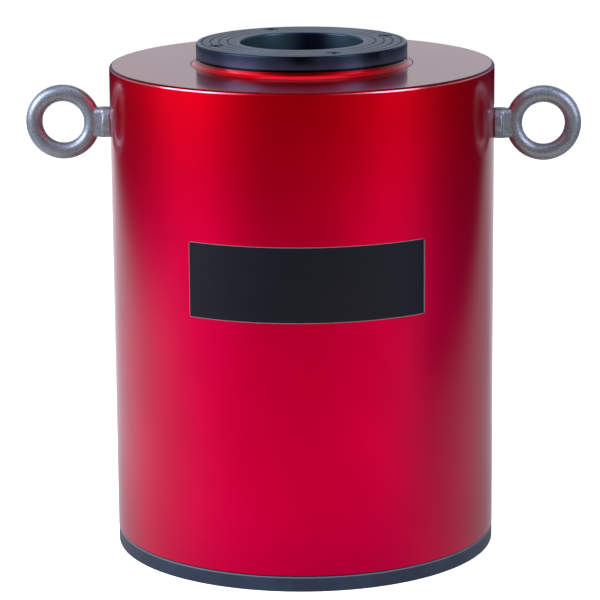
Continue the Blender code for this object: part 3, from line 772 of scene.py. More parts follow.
def coil(name, mean, wire, bottom, top, turns, steps, sides):
    """A compression spring: a wire swept round by small turns, its ends ground flat."""
    start()
    closed = SPRING_CLOSED
    low = bottom + wire / 4
    high = top - wire / 4
    bpy.ops.mesh.primitive_circle_add(
        vertices=sides, radius=wire / 2, location=(mean, 0.0, low), rotation=(math.pi / 2, 0.0, 0.0),
    )
    piece = bpy.context.object
    piece.name = name
    settle(piece)

    def level(turn):
        rise = closed * wire
        if turn < closed:
            return low + rise * turn / closed
        if turn > turns - closed:
            return high - rise * (turns - turn) / closed
        return low + rise + (turn - closed) / (turns - 2 * closed) * (high - low - 2 * rise)

    edit()
    count = round(turns * steps)
    for step in range(count):
        climb = level(turns * (step + 1) / count) - level(turns * step / count)
        bpy.ops.mesh.extrude_edges_move(TRANSFORM_OT_translate={"value": (0.0, 0.0, climb)})
        bpy.ops.transform.rotate(
            value=-math.tau * turns / count, orient_axis="Z", center_override=(0.0, 0.0, 0.0),
        )
    bpy.ops.mesh.select_all(action="SELECT")
    close_up(True)
    trim((0.0, 0.0, bottom), (0.0, 0.0, -1.0))
    trim((0.0, 0.0, top), (0.0, 0.0, 1.0))
    leave()
    return piece


# Places that several pieces share
EYE_REACH = 172.39 * MM         # from the main axis to the middle of the eye
EYE_HEIGHT = (EYE_LOW.z + EYE_HIGH.z) / 2
EYE_SEAT_DEPTH = 0.6 * MM
EYE_SHANK = 12.0 * MM
EYE_SHANK_LENGTH = 20.0 * MM
EYE_COLLAR_LENGTH = 6.0 * MM
EYE_CHEEK = 14.4 * MM           # thickness of the flat cheek at the collar
EYE_BLEND = 3.0 * MM            # the cheek runs on into the bar by this
EYE_CHEEK_TAPER = 0.86          # height of the cheek's far end, as a share of the neck
EYE_CHEEK_EDGE = 3.0 * MM       # rounding of the cheek's edges
EYE_END = 0.8 * MM              # bevel at the end of the shank
EYE_VOXEL = 0.55 * MM
EYE_SMOOTHING = 9
EYE_FULLER = 0.3 * MM           # the forged bar is a little fuller towards its hole
PORT_TURN = math.radians(135)
PORT_HEIGHT = 58.0 * MM
PORT_SEAT = 17.0 * MM
PORT_SEAT_DEPTH = 3.5 * MM
PORT_THREAD = 9.3 * MM
# From the main axis outwards
PORT_FLOOR = 112.6 * MM
CHAMBER_FOOT = 140.7 * MM       # the coupler's chamber for valve and spring
VALVE_DISC = 159.4 * MM
COUPLER_TIP = 172.0 * MM
HEXAGON_HEIGHT = 9.7 * MM
BASE_SCREW = (8.0 * MM, 15.6 * MM, 26.0 * MM)   # shank, head and length
BASE_KEY = 5.0 * MM
SADDLE_SCREW = (5.0 * MM, 9.6 * MM, 24.0 * MM)
SADDLE_KEY = 4.2 * MM
KEY_TWIST = 0.4                 # each saddle screw's socket stands a little further round
SADDLE_SCREW_TURN = math.radians(23.6)
SADDLE_SCREW_CIRCLE = 64.3 * MM
HEAD_SINK = 0.4 * MM
RIM_STEPS = 6                   # of the round between the body's side and its top face
FLARE_IN = 1.3 * MM             # the collar's visible foot lies this far inside its root
FLARE = ((0.0, 0.0), (1.7 * MM, 1.4 * MM), (2.4 * MM, 2.4 * MM))    # inwards and up from the foot
COLLAR_LIFT = 0.2 * MM          # the drawn collar reaches this far above the CAD's
COLLAR_OUT = 0.3 * MM           # and this far outside the saddle
HEAD_SEAT = 35.0 * MM           # the bottom head's seat, over the base plate
HEAD_HEIGHT = 34.4 * MM
FLANGE_HEIGHT = 7.7 * MM
POCKET_TOP = 313.0 * MM
POCKET_FOOT = 258.3 * MM
# Grooves: their two heights, in the order in which the outline passes them
WIPER_SLOT = (349.4 * MM, 342.4 * MM)
GUIDE_SLOT = (336.9 * MM, 320.9 * MM)
HEAD_SEAL_SLOT = (34.7 * MM, 40.7 * MM)
TUBE_SEAL_SLOT = (34.3 * MM, 29.3 * MM)
PISTON_SEAL_SLOT = (74.0 * MM, 87.4 * MM)
PISTON_GUIDE_SLOT = (96.4 * MM, 104.4 * MM)
INNER_GUIDE_SLOT = (98.0 * MM, 88.0 * MM)
INNER_SEAL_SLOT = (66.0 * MM, 56.0 * MM)
WIPER_DEPTH = 5.0 * MM
WIPER_TOP = 354.8 * MM
WIPER_STEP = 346.0 * MM         # where its bore widens a little, downwards
SEAL_DEPTH = 7.2 * MM
BACKUP_FOOT = 84.0 * MM         # the backup ring lies above the seal, in the same groove
SADDLE_SIDE = 11.4 * MM         # height of the saddle's side
FIRST_GROOVE = 4.2 * MM         # from the saddle's side to the middle of its first groove
EDGE_ROUND = (                  # the saddle's edges: inwards and down
    (0.0, 1.5 * MM), (0.25 * MM, 0.75 * MM), (0.75 * MM, 0.25 * MM), (1.5 * MM, 0.0),
)
SPRING_WIRE = 12.0 * MM
SPRING_TURNS = 4.4
SPRING_CLOSED = 0.75            # turns that lie flat at each end of a spring
LABEL_TURN = math.radians(4.6)  # from -Y towards +X
LABEL_HALF = math.radians(35.95)
LABEL_CORNER = 1.2 * MM


def on_circle(count, circle, turn=0.0):
    """Number, X and Y of each screw on a circle."""
    for number in range(count):
        angle = turn + math.tau * number / count
        yield number + 1, circle * math.cos(angle), circle * math.sin(angle)


class AddBody(bpy.types.Operator):
    """Turn the red body with its collar, bores and grooves, and open its side for eyes and port"""

    bl_idname = "cylinder.add_body"
    bl_label = "Cylinder body"

    def execute(self, context):
        looks = context.scene.cylinder_looks
        size = looks.body
        side = size.radius - looks.fittings.label_film
        foot = BODY_LOW.z
        collar_top = BODY_HIGH.z + COLLAR_LIFT
        collar_edge = SADDLE_HIGH.y + COLLAR_OUT
        flare = size.collar - FLARE_IN
        seat = PLATE_HIGH.z + HEAD_SEAT
        bevel = size.rim_bevel
        turns = [math.pi / 2 * step / RIM_STEPS for step in range(RIM_STEPS + 1)]
        rim = [
            (side - bevel * (1 - math.cos(turn)), size.top - bevel * (1 - math.sin(turn)))
            for turn in turns
        ]
        # Rings of points on the side keep its long faces apart from the cuts
        around = [
            PORT_HEIGHT - 20 * MM, PORT_HEIGHT + 20 * MM, 100 * MM, 150 * MM, 200 * MM, 250 * MM,
            EYE_HEIGHT - 14 * MM, EYE_HEIGHT + 14 * MM,
        ]
        body = turned("red_body", [
            (side - size.foot_bevel, foot),
            (side - size.foot_bevel * 0.3, foot + size.foot_bevel * 0.3),
            (side, foot + size.foot_bevel),
            *[(side, height) for height in around],
            *rim,
            *[(flare - inwards, size.top + up) for inwards, up in FLARE],
            (collar_edge, collar_top - 0.1 * MM),
            (collar_edge - 0.1 * MM, collar_top),
            (size.gland + 0.2 * MM, collar_top),
            (size.gland, collar_top - 0.2 * MM),
            *slot_in(size.gland, size.gland + WIPER_DEPTH, *WIPER_SLOT),
            *slot_in(size.gland, size.gland + 3.0 * MM, *GUIDE_SLOT),
            (size.gland, POCKET_TOP),
            (size.pocket, POCKET_TOP),
            (size.pocket, POCKET_FOOT),
            (size.bore, POCKET_FOOT),
            (size.bore, seat),
            (size.thread, seat),
            (size.thread, foot),
        ], LARGE_STEPS)
        outside = size.radius + 2.0 * MM
        for turn in (0.0, math.pi):
            seat_at = size.radius - EYE_SEAT_DEPTH
            shank = EYE_SHANK / 2 + THREAD_GAP
            face = looks.fittings.eye_neck / 2 + 2 * SEAT_GAP
            cut(body, lay(turned("eye_seat", [
                (shank, seat_at - EYE_SHANK_LENGTH - 2.0 * MM), (shank, seat_at),
                (face, seat_at), (face, outside),
            ], SMALL_STEPS, capped=True), turn, EYE_HEIGHT))
        port_seat = size.radius - PORT_SEAT_DEPTH
        cut(body, lay(turned("port", [
            (3.5 * MM, size.bore - 2.0 * MM), (3.5 * MM, PORT_FLOOR), (PORT_THREAD, PORT_FLOOR),
            (PORT_THREAD, port_seat), (PORT_SEAT, port_seat), (PORT_SEAT, outside),
        ], SMALL_STEPS, capped=True), PORT_TURN, PORT_HEIGHT))
        drill(body, on_circle(6, looks.base.screw_circle), BASE_SCREW, HEAD_SINK, math.pi)
        dress(body, red_anodised(), "red_anodised", "cylinder", "cylinder_body")
        return {"FINISHED"}


class AddGlandRings(bpy.types.Operator):
    """Turn the wiper and the guide band of the top wall"""

    bl_idname = "cylinder.add_gland_rings"
    bl_label = "Gland rings"

    def execute(self, context):
        looks = context.scene.cylinder_looks
        inner = looks.plunger.rod + SEAT_GAP
        outer = looks.body.gland + WIPER_DEPTH - SEAT_GAP
        high, low = WIPER_SLOT[0] - SEAT_GAP, WIPER_SLOT[1] + SEAT_GAP
        wiper = turned("lipped_wiper", [
            (inner + 0.2 * MM, low), (outer, low), (outer, high), (inner + 0.4 * MM, high),
            (inner + 0.3 * MM, WIPER_TOP), (inner, WIPER_TOP),
            (inner, WIPER_STEP + 1.0 * MM), (inner + 0.2 * MM, WIPER_STEP),
        ], INNER_STEPS, softened=0.05 * MM)
        dress(wiper, seal_rubber(), "seal_rubber", "cylinder", "wiper_ring")
        band = ring_in("top_guide_strip", inner, looks.body.gland + 2.7 * MM, GUIDE_SLOT, 0.2 * MM)
        dress(band, guide_band(), "guide_band", "cylinder", "gland_guide_band")
        return {"FINISHED"}


class AddBase(bpy.types.Operator):
    """Turn the base plate and screw it on from below"""

    bl_idname = "cylinder.add_base"
    bl_label = "Base plate and screws"

    def execute(self, context):
        size = context.scene.cylinder_looks.base
        bevel = size.plate_bevel
        top = PLATE_HIGH.z
        plate = turned("base_ring", [
            (size.plate_hole + bevel, 0.0), (size.plate - bevel, 0.0),
            (size.plate - bevel * 0.3, bevel * 0.3), (size.plate, bevel), (size.plate, top - bevel),
            (size.plate - bevel * 0.3, top - bevel * 0.3), (size.plate - bevel, top),
            (size.plate_hole, top), (size.plate_hole, bevel),
        ], LARGE_STEPS)
        places = list(on_circle(6, size.screw_circle))
        drill(plate, places, BASE_SCREW, HEAD_SINK, math.pi)
        dress(plate, base_black(), "black_oxide", "cylinder", "base_plate")
        screw_on("base_bolt", BASE_SCREW, BASE_KEY, places, HEAD_SINK, math.pi, 0.0,
                 (zinc_plate(), "zinc_plate", "cylinder", "base_screw"))
        return {"FINISHED"}


class AddBottomHead(bpy.types.Operator):
    """Turn the bottom head, the centre tube that it holds, and their seals"""

    bl_idname = "cylinder.add_bottom_head"
    bl_label = "Bottom head and centre tube"

    def execute(self, context):
        looks = context.scene.cylinder_looks
        size = looks.base
        rubber = seal_rubber()
        foot = TUBE_LOW.z
        top = foot + HEAD_HEIGHT
        outer = looks.body.thread - SEAT_GAP
        bore = size.tube + SEAT_GAP
        recess = size.flange + SEAT_GAP
        flange_top = foot + FLANGE_HEIGHT
        head = turned("bottom_gland", [
            (outer, foot), *slot_in(outer, outer - 4.4 * MM, *HEAD_SEAL_SLOT), (outer, top),
            (bore, top), *slot_in(bore, bore + 3.8 * MM, *TUBE_SEAL_SLOT),
            (bore, flange_top + SEAT_GAP), (recess, flange_top + SEAT_GAP), (recess, foot),
        ], INNER_STEPS, softened=0.25 * MM)
        dress(head, machined_steel(), "machined_steel", "cylinder", "bottom_head")
        tube = turned("inner_tube", [
            (size.tube_hole + 0.5 * MM, foot), (size.flange, foot), (size.flange, flange_top),
            (size.tube, flange_top), (size.tube, TUBE_HIGH.z - 1.0 * MM),
            (size.tube - 1.0 * MM, TUBE_HIGH.z), (size.tube_hole + 0.5 * MM, TUBE_HIGH.z),
            (size.tube_hole, TUBE_HIGH.z - 0.5 * MM), (size.tube_hole, foot + 0.5 * MM),
        ], INNER_STEPS, softened=0.15 * MM)
        dress(tube, hard_chrome(), "hard_chrome", "cylinder", "centre_tube")
        ring = ring_in("head_seal_ring", outer - 4.1 * MM, outer, HEAD_SEAL_SLOT, 0.8 * MM)
        dress(ring, rubber, "seal_rubber", "cylinder", "head_seal")
        ring = ring_in("tube_seal_ring", bore, bore + 3.5 * MM, TUBE_SEAL_SLOT, 0.7 * MM)
        dress(ring, rubber, "seal_rubber", "cylinder", "tube_seal")
        return {"FINISHED"}


class AddPlunger(bpy.types.Operator):
    """Turn piston and hollow rod with their seals and guide strips"""

    bl_idname = "cylinder.add_plunger"
    bl_label = "Plunger"

    def execute(self, context):
        looks = context.scene.cylinder_looks
        size = looks.plunger
        foot = ROD_LOW.z
        gallery = size.piston - 3.0 * MM
        rubber = seal_rubber()
        guide = guide_band()
        plunger = turned("hollow_plunger", [
            (gallery - 1.2 * MM, foot), (gallery, foot + 1.2 * MM), (gallery, 62.0 * MM),
            (size.piston, 65.0 * MM),
            *slot_in(size.piston, size.piston - SEAL_DEPTH, *PISTON_SEAL_SLOT),
            *slot_in(size.piston, size.piston - 2.8 * MM, *PISTON_GUIDE_SLOT),
            (size.piston, size.piston_top), (size.rod, size.piston_top),
            (size.rod, ROD_HIGH.z - 1.0 * MM), (size.rod - 1.0 * MM, ROD_HIGH.z),
            (size.hole, ROD_HIGH.z), (size.hole, size.piston_top),
            (size.piston_hole, size.piston_top - 1.5 * MM),
            *slot_in(size.piston_hole, size.piston_hole + 2.6 * MM, *INNER_GUIDE_SLOT),
            *slot_in(size.piston_hole, size.piston_hole + 6.0 * MM, *INNER_SEAL_SLOT),
            (size.piston_hole, foot),
        ], INNER_STEPS, softened=0.2 * MM)
        dress(plunger, hard_chrome(), "hard_chrome", "plunger", "plunger")
        floor = size.piston - SEAL_DEPTH + SEAT_GAP
        inner = looks.base.tube + SEAT_GAP
        seal_slot = (PISTON_SEAL_SLOT[0], BACKUP_FOOT)
        backup_slot = (BACKUP_FOOT - SEAT_GAP, PISTON_SEAL_SLOT[1])
        rings = (
            ("piston_seal_ring", floor, size.piston, seal_slot, rubber, "seal_rubber", "piston_seal"),
            ("backup_washer", floor, size.piston, backup_slot, backup_ring(), "backup_ring",
             "piston_backup_ring"),
            ("piston_strip", size.piston - 2.5 * MM, size.piston, PISTON_GUIDE_SLOT, guide,
             "guide_band", "piston_guide_band"),
            ("inner_seal_ring", inner, size.piston_hole + 5.7 * MM, INNER_SEAL_SLOT, rubber,
             "seal_rubber", "inner_seal"),
            ("inner_strip", inner, size.piston_hole + 2.3 * MM, INNER_GUIDE_SLOT, guide,
             "guide_band", "inner_guide_band"),
        )
        for name, low, high, groove, material, slot, node in rings:
            dress(ring_in(name, low, high, groove, 0.25 * MM), material, slot, "plunger", node)
        return {"FINISHED"}


class AddSaddle(bpy.types.Operator):
    """Turn the grooved saddle and screw it on"""

    bl_idname = "cylinder.add_saddle"
    bl_label = "Saddle and screws"

    def execute(self, context):
        size = context.scene.cylinder_looks.plunger
        top = SADDLE_HIGH.z
        under = top - SADDLE_SIDE
        spigot = size.hole - 0.6 * MM
        grooves = []
        for number in range(4):
            middle = size.saddle - FIRST_GROOVE - number * size.groove_pitch
            half = size.groove_width / 2
            grooves += [
                (middle + half, top), (middle + half * 0.5, top - size.groove_depth * 0.85),
                (middle, top - size.groove_depth),
                (middle - half * 0.5, top - size.groove_depth * 0.85), (middle - half, top),
            ]
        saddle = turned("grooved_saddle", [
            (spigot, SADDLE_LOW.z), (spigot, under), (size.saddle - 0.4 * MM, under),
            (size.saddle, under + 0.4 * MM),
            *[(size.saddle - inwards, top - down) for inwards, down in EDGE_ROUND],
            *grooves,
            *[(size.saddle_hole + inwards, top - down) for inwards, down in reversed(EDGE_ROUND)],
            (size.saddle_hole, SADDLE_LOW.z),
        ], LARGE_STEPS)
        places = list(on_circle(4, SADDLE_SCREW_CIRCLE, SADDLE_SCREW_TURN))
        drill(saddle, places, SADDLE_SCREW, top - HEAD_SINK)
        dress(saddle, black_oxide(), "black_oxide", "plunger", "saddle")
        screw_on("saddle_bolt", SADDLE_SCREW, SADDLE_KEY, places, top - HEAD_SINK, 0.0, KEY_TWIST,
                 (black_screw(), "black_screw", "plunger", "saddle_screw"))
        return {"FINISHED"}


class AddReturnSpring(bpy.types.Operator):
    """Coil the return spring between piston and top wall"""

    bl_idname = "cylinder.add_return_spring"
    bl_label = "Return spring"

    def execute(self, context):
        looks = context.scene.cylinder_looks
        mean = (looks.plunger.rod + looks.body.pocket) / 2
        bottom, top = SPRING_LOW.z, SPRING_HIGH.z
        spring = coil(
            "coiled_return_spring", mean, SPRING_WIRE, bottom, top, SPRING_TURNS, steps=40, sides=20,
        )
        dress(spring, spring_steel(), "spring_steel", "cylinder", "return_spring")
        stroke = joint("plunger_slide")["range_m"][1]
        keep = 1.0 - stroke / (top - bottom)
        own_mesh(spring)
        return {"FINISHED"}


class AddEyes(bpy.types.Operator):
    """Forge the two lifting eyes, each in one piece with its collar and shank"""

    bl_idname = "cylinder.add_eyes"
    bl_label = "Lifting eyes"

    def execute(self, context):
        looks = context.scene.cylinder_looks
        size = looks.fittings
        steel = forged_steel()
        mean = (size.eye_hole + size.eye_bar - EYE_FULLER / 2) / 2
        seat = looks.body.radius - EYE_SEAT_DEPTH + SEAT_GAP
        neck = size.eye_neck / 2
        for name, turn, node in (
            ("right_eye", 0.0, "eyebolt_right"), ("left_eye", math.pi, "eyebolt_left"),
        ):
            start()
            bpy.ops.mesh.primitive_torus_add(
                major_radius=mean, minor_radius=(size.eye_bar + EYE_FULLER) / 2, major_segments=96,
                minor_segments=40, location=(0.0, 0.0, EYE_REACH), rotation=(math.pi / 2, 0.0, 0.0),
            )
            ring = settle(bpy.context.object)
            collar = turned("collar", [
                (EYE_SHANK / 2 - EYE_END, seat - EYE_SHANK_LENGTH),
                (EYE_SHANK / 2, seat - EYE_SHANK_LENGTH + EYE_END), (EYE_SHANK / 2, seat),
                (neck - 0.3 * MM, seat), (neck, seat + 0.3 * MM),
                (neck, seat + EYE_COLLAR_LENGTH - 0.4 * MM),
                (neck - 0.4 * MM, seat + EYE_COLLAR_LENGTH),
            ], SMALL_STEPS, capped=True)
            start()
            cheek_end = EYE_REACH - mean + EYE_BLEND
            cheek_start = seat + EYE_COLLAR_LENGTH / 2
            bpy.ops.mesh.primitive_cube_add(
                size=1.0, location=(0.0, 0.0, (cheek_start + cheek_end) / 2),
                scale=(size.eye_neck, EYE_CHEEK, cheek_end - cheek_start),
            )
            cheek = settle(bpy.context.object)
            bpy.ops.object.mode_set(mode="EDIT")
            bpy.ops.mesh.select_all(action="DESELECT")
            leave()
            for face in cheek.data.polygons:
                face.select = face.normal.z > 0.9
            bpy.ops.object.mode_set(mode="EDIT")
            bpy.ops.mesh.select_mode(type="FACE")
            hidden = 2 * math.sqrt((size.eye_bar / 2) ** 2 - EYE_BLEND ** 2) - 0.4 * MM
            bpy.ops.transform.resize(
                value=(EYE_CHEEK_TAPER, hidden / EYE_CHEEK, 1.0),
                center_override=(0.0, 0.0, cheek_end),
            )
            bpy.ops.mesh.select_all(action="SELECT")
            bpy.ops.mesh.bevel(offset=EYE_CHEEK_EDGE, segments=5, affect="EDGES")
            leave()
            eye = join([lay(shape, turn, EYE_HEIGHT) for shape in (ring, collar, cheek)], name)
            use_modifier(eye, "REMESH", mode="VOXEL", voxel_size=EYE_VOXEL, adaptivity=0.0)
            use_modifier(eye, "SMOOTH", factor=0.5, iterations=EYE_SMOOTHING)
            dress(eye, steel, "forged_steel", "cylinder", node)
        return {"FINISHED"}


class AddCoupler(bpy.types.Operator):
    """Turn the coupler half in the oil port, with its valve and spring"""

    bl_idname = "cylinder.add_coupler"
    bl_label = "Coupler half"

    def execute(self, context):
        looks = context.scene.cylinder_looks
        size = looks.fittings
        start_at = looks.body.radius - PORT_SEAT_DEPTH + SEAT_GAP
        end_at = start_at + HEXAGON_HEIGHT
        barrel = size.barrel
        thread = PORT_THREAD - THREAD_GAP
        nose = PORT_FLOOR + SEAT_GAP
        tip = COUPLER_TIP
        threads = []
        for number in range(7):
            low = end_at + 5.0 * MM + number * 1.75 * MM
            threads += [
                (barrel, low), (barrel - 0.75 * MM, low + 0.7 * MM),
                (barrel - 0.75 * MM, low + 1.0 * MM), (barrel, low + 1.65 * MM),
            ]
        coupler = turned("coupler_half", [
            (thread - 0.5 * MM, nose), (thread, nose + 0.5 * MM), (thread, start_at + 4.0 * MM),
            (barrel - 0.6 * MM, start_at + 4.0 * MM), (barrel - 0.6 * MM, end_at + 3.0 * MM),
            (barrel, end_at + 3.6 * MM), *threads, (barrel, tip - 1.0 * MM),
            (barrel - 1.0 * MM, tip), (7.9 * MM, tip), (7.5 * MM, tip - 0.4 * MM),
            (7.5 * MM, 167.0 * MM), (4.2 * MM, 167.0 * MM), (4.2 * MM, 166.0 * MM),
            (6.5 * MM, 163.7 * MM), (6.5 * MM, CHAMBER_FOOT), (3.0 * MM, CHAMBER_FOOT),
            (3.0 * MM, nose),
        ], SMALL_STEPS)
        start()
        corner = size.hexagon / 2 / math.cos(math.pi / 6)
        bpy.ops.mesh.primitive_cylinder_add(
            vertices=6, radius=corner, depth=end_at - start_at,
            location=(0.0, 0.0, (start_at + end_at) / 2),
        )
        nut = settle(bpy.context.object)
        chamfer = turned("chamfer", [
            (corner - 1.9 * MM, start_at - 0.1 * MM), (corner + 0.3 * MM, start_at + 1.1 * MM),
            (corner + 0.3 * MM, end_at - 1.1 * MM), (corner - 1.9 * MM, end_at + 0.1 * MM),
        ], SMALL_STEPS, capped=True)
        cut(nut, chamfer, "INTERSECT")
        bore = turned("nut_bore", [
            (7.0 * MM, start_at - 1.0 * MM), (7.0 * MM, end_at + 1.0 * MM),
        ], SMALL_STEPS, capped=True)
        cut(nut, bore)
        cut(coupler, nut, "UNION")
        lay(coupler, PORT_TURN, PORT_HEIGHT)
        dress(coupler, zinc_plate(), "zinc_plate", "cylinder", "coupler_body")

        valve = turned("check_valve", [
            (2.5 * MM, 151.4 * MM), (2.5 * MM, VALVE_DISC), (6.2 * MM, VALVE_DISC),
            (6.2 * MM, 163.4 * MM), (3.1 * MM, 166.5 * MM), (3.1 * MM, 170.2 * MM),
            (2.6 * MM, 170.7 * MM),
        ], SMALL_STEPS, capped=True, softened=0.1 * MM)
        lay(valve, PORT_TURN, PORT_HEIGHT)
        dress(valve, machined_steel(), "machined_steel", "coupler_valve", "coupler_valve")

        low, high = CHAMBER_FOOT + SEAT_GAP, VALVE_DISC - SEAT_GAP
        spring = coil("valve_spring", 4.5 * MM, 1.4 * MM, low, high, 5.0, steps=28, sides=12)
        lay(spring, PORT_TURN, PORT_HEIGHT)
        dress(spring, spring_steel(), "spring_steel", "cylinder", "coupler_spring")
        slide = joint("coupler_valve_slide")
        inward = Vector(slide["axis"])
        anchor = Vector((0.0, 0.0, PORT_HEIGHT)) - inward * low
        keep = 1.0 - slide["range_m"][1] / (high - low)
        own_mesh(spring)
        return {"FINISHED"}


class AddDustCap(bpy.types.Operator):
    """Mould the ribbed dust cap over the coupler"""

    bl_idname = "cylinder.add_dust_cap"
    bl_label = "Dust cap"

    def execute(self, context):
        size = context.scene.cylinder_looks.fittings
        mouth, floor, end = 146.0 * MM, 172.3 * MM, 175.8 * MM
        wall = size.cap
        cap = turned("ribbed_dust_cap", [
            (wall - 0.4 * MM, mouth), (wall, mouth + 0.4 * MM), (wall, mouth + 3.0 * MM),
            (wall - 0.5 * MM, mouth + 3.6 * MM), (wall - 0.5 * MM, end - 1.8 * MM),
            (wall - 0.9 * MM, end - 0.7 * MM), (wall - 1.8 * MM, end), (5.0 * MM, end),
            (4.6 * MM, end - 0.4 * MM), (1.0 * MM, end - 0.5 * MM),
        ], SMALL_STEPS, capped=True)
        ribs = []
        for number in range(size.cap_ribs):
            start()
            turn = math.tau * number / size.cap_ribs
            reach = wall - 0.75 * MM
            bpy.ops.mesh.primitive_cylinder_add(
                vertices=16, radius=0.72 * MM, depth=end - 3.6 * MM - mouth - 3.0 * MM,
                location=(reach * math.cos(turn), reach * math.sin(turn), (mouth + end) / 2 + 0.3 * MM),
            )
            ribs.append(settle(bpy.context.object))
        cut(cap, join(ribs, "ribs"), "UNION")
        inside = size.barrel + SEAT_GAP
        cut(cap, turned("cap_bore", [
            (inside + 0.4 * MM, mouth - 1.0 * MM), (inside + 0.4 * MM, mouth), (inside, mouth + 0.4 * MM),
            (inside, floor),
        ], SMALL_STEPS, capped=True))
        lay(cap, PORT_TURN, PORT_HEIGHT)
        dress(cap, cap_plastic(), "cap_plastic", "dust_cap", "dust_cap")
        return {"FINISHED"}


class AddLabel(bpy.types.Operator):
    """Wrap the blank label film round the front of the body"""

    bl_idname = "cylinder.add_label"
    bl_label = "Label"

    def execute(self, context):
        looks = context.scene.cylinder_looks
        size = looks.fittings
        outer = looks.body.radius
        inner = outer - size.label_film * 0.85
        label = turned("front_label", [
            (inner, size.label_low), (outer, size.label_low), (outer, size.label_high),
            (inner, size.label_high),
        ], 2 * LARGE_STEPS)
        edit()
        for side in (-1.0, 1.0):
            turn = LABEL_TURN + side * LABEL_HALF
            trim((0.0, 0.0, 0.0), (side * math.cos(turn), side * math.sin(turn), 0.0))
        leave()
        corners = {size.label_low, size.label_high}
        for edge in label.data.edges:
            ends = [label.data.vertices[index].co for index in edge.vertices]
            flat = all(min(abs(end.z - height) for height in corners) < WELD for end in ends)
            reach = [math.hypot(end.x, end.y) for end in ends]
            turns = [math.atan2(end.x, -end.y) - LABEL_TURN for end in ends]
            at_end = all(abs(abs(turn) - LABEL_HALF) < 1e-4 for turn in turns)
            edge.select = flat and at_end and abs(reach[0] - reach[1]) > size.label_film / 2
        bpy.ops.object.mode_set(mode="EDIT")
        bpy.ops.mesh.select_mode(type="EDGE")
        bpy.ops.mesh.bevel(offset=LABEL_CORNER, segments=5, affect="EDGES")
        leave()
        dress(label, label_print(), None, "cylinder")
        return {"FINISHED"}


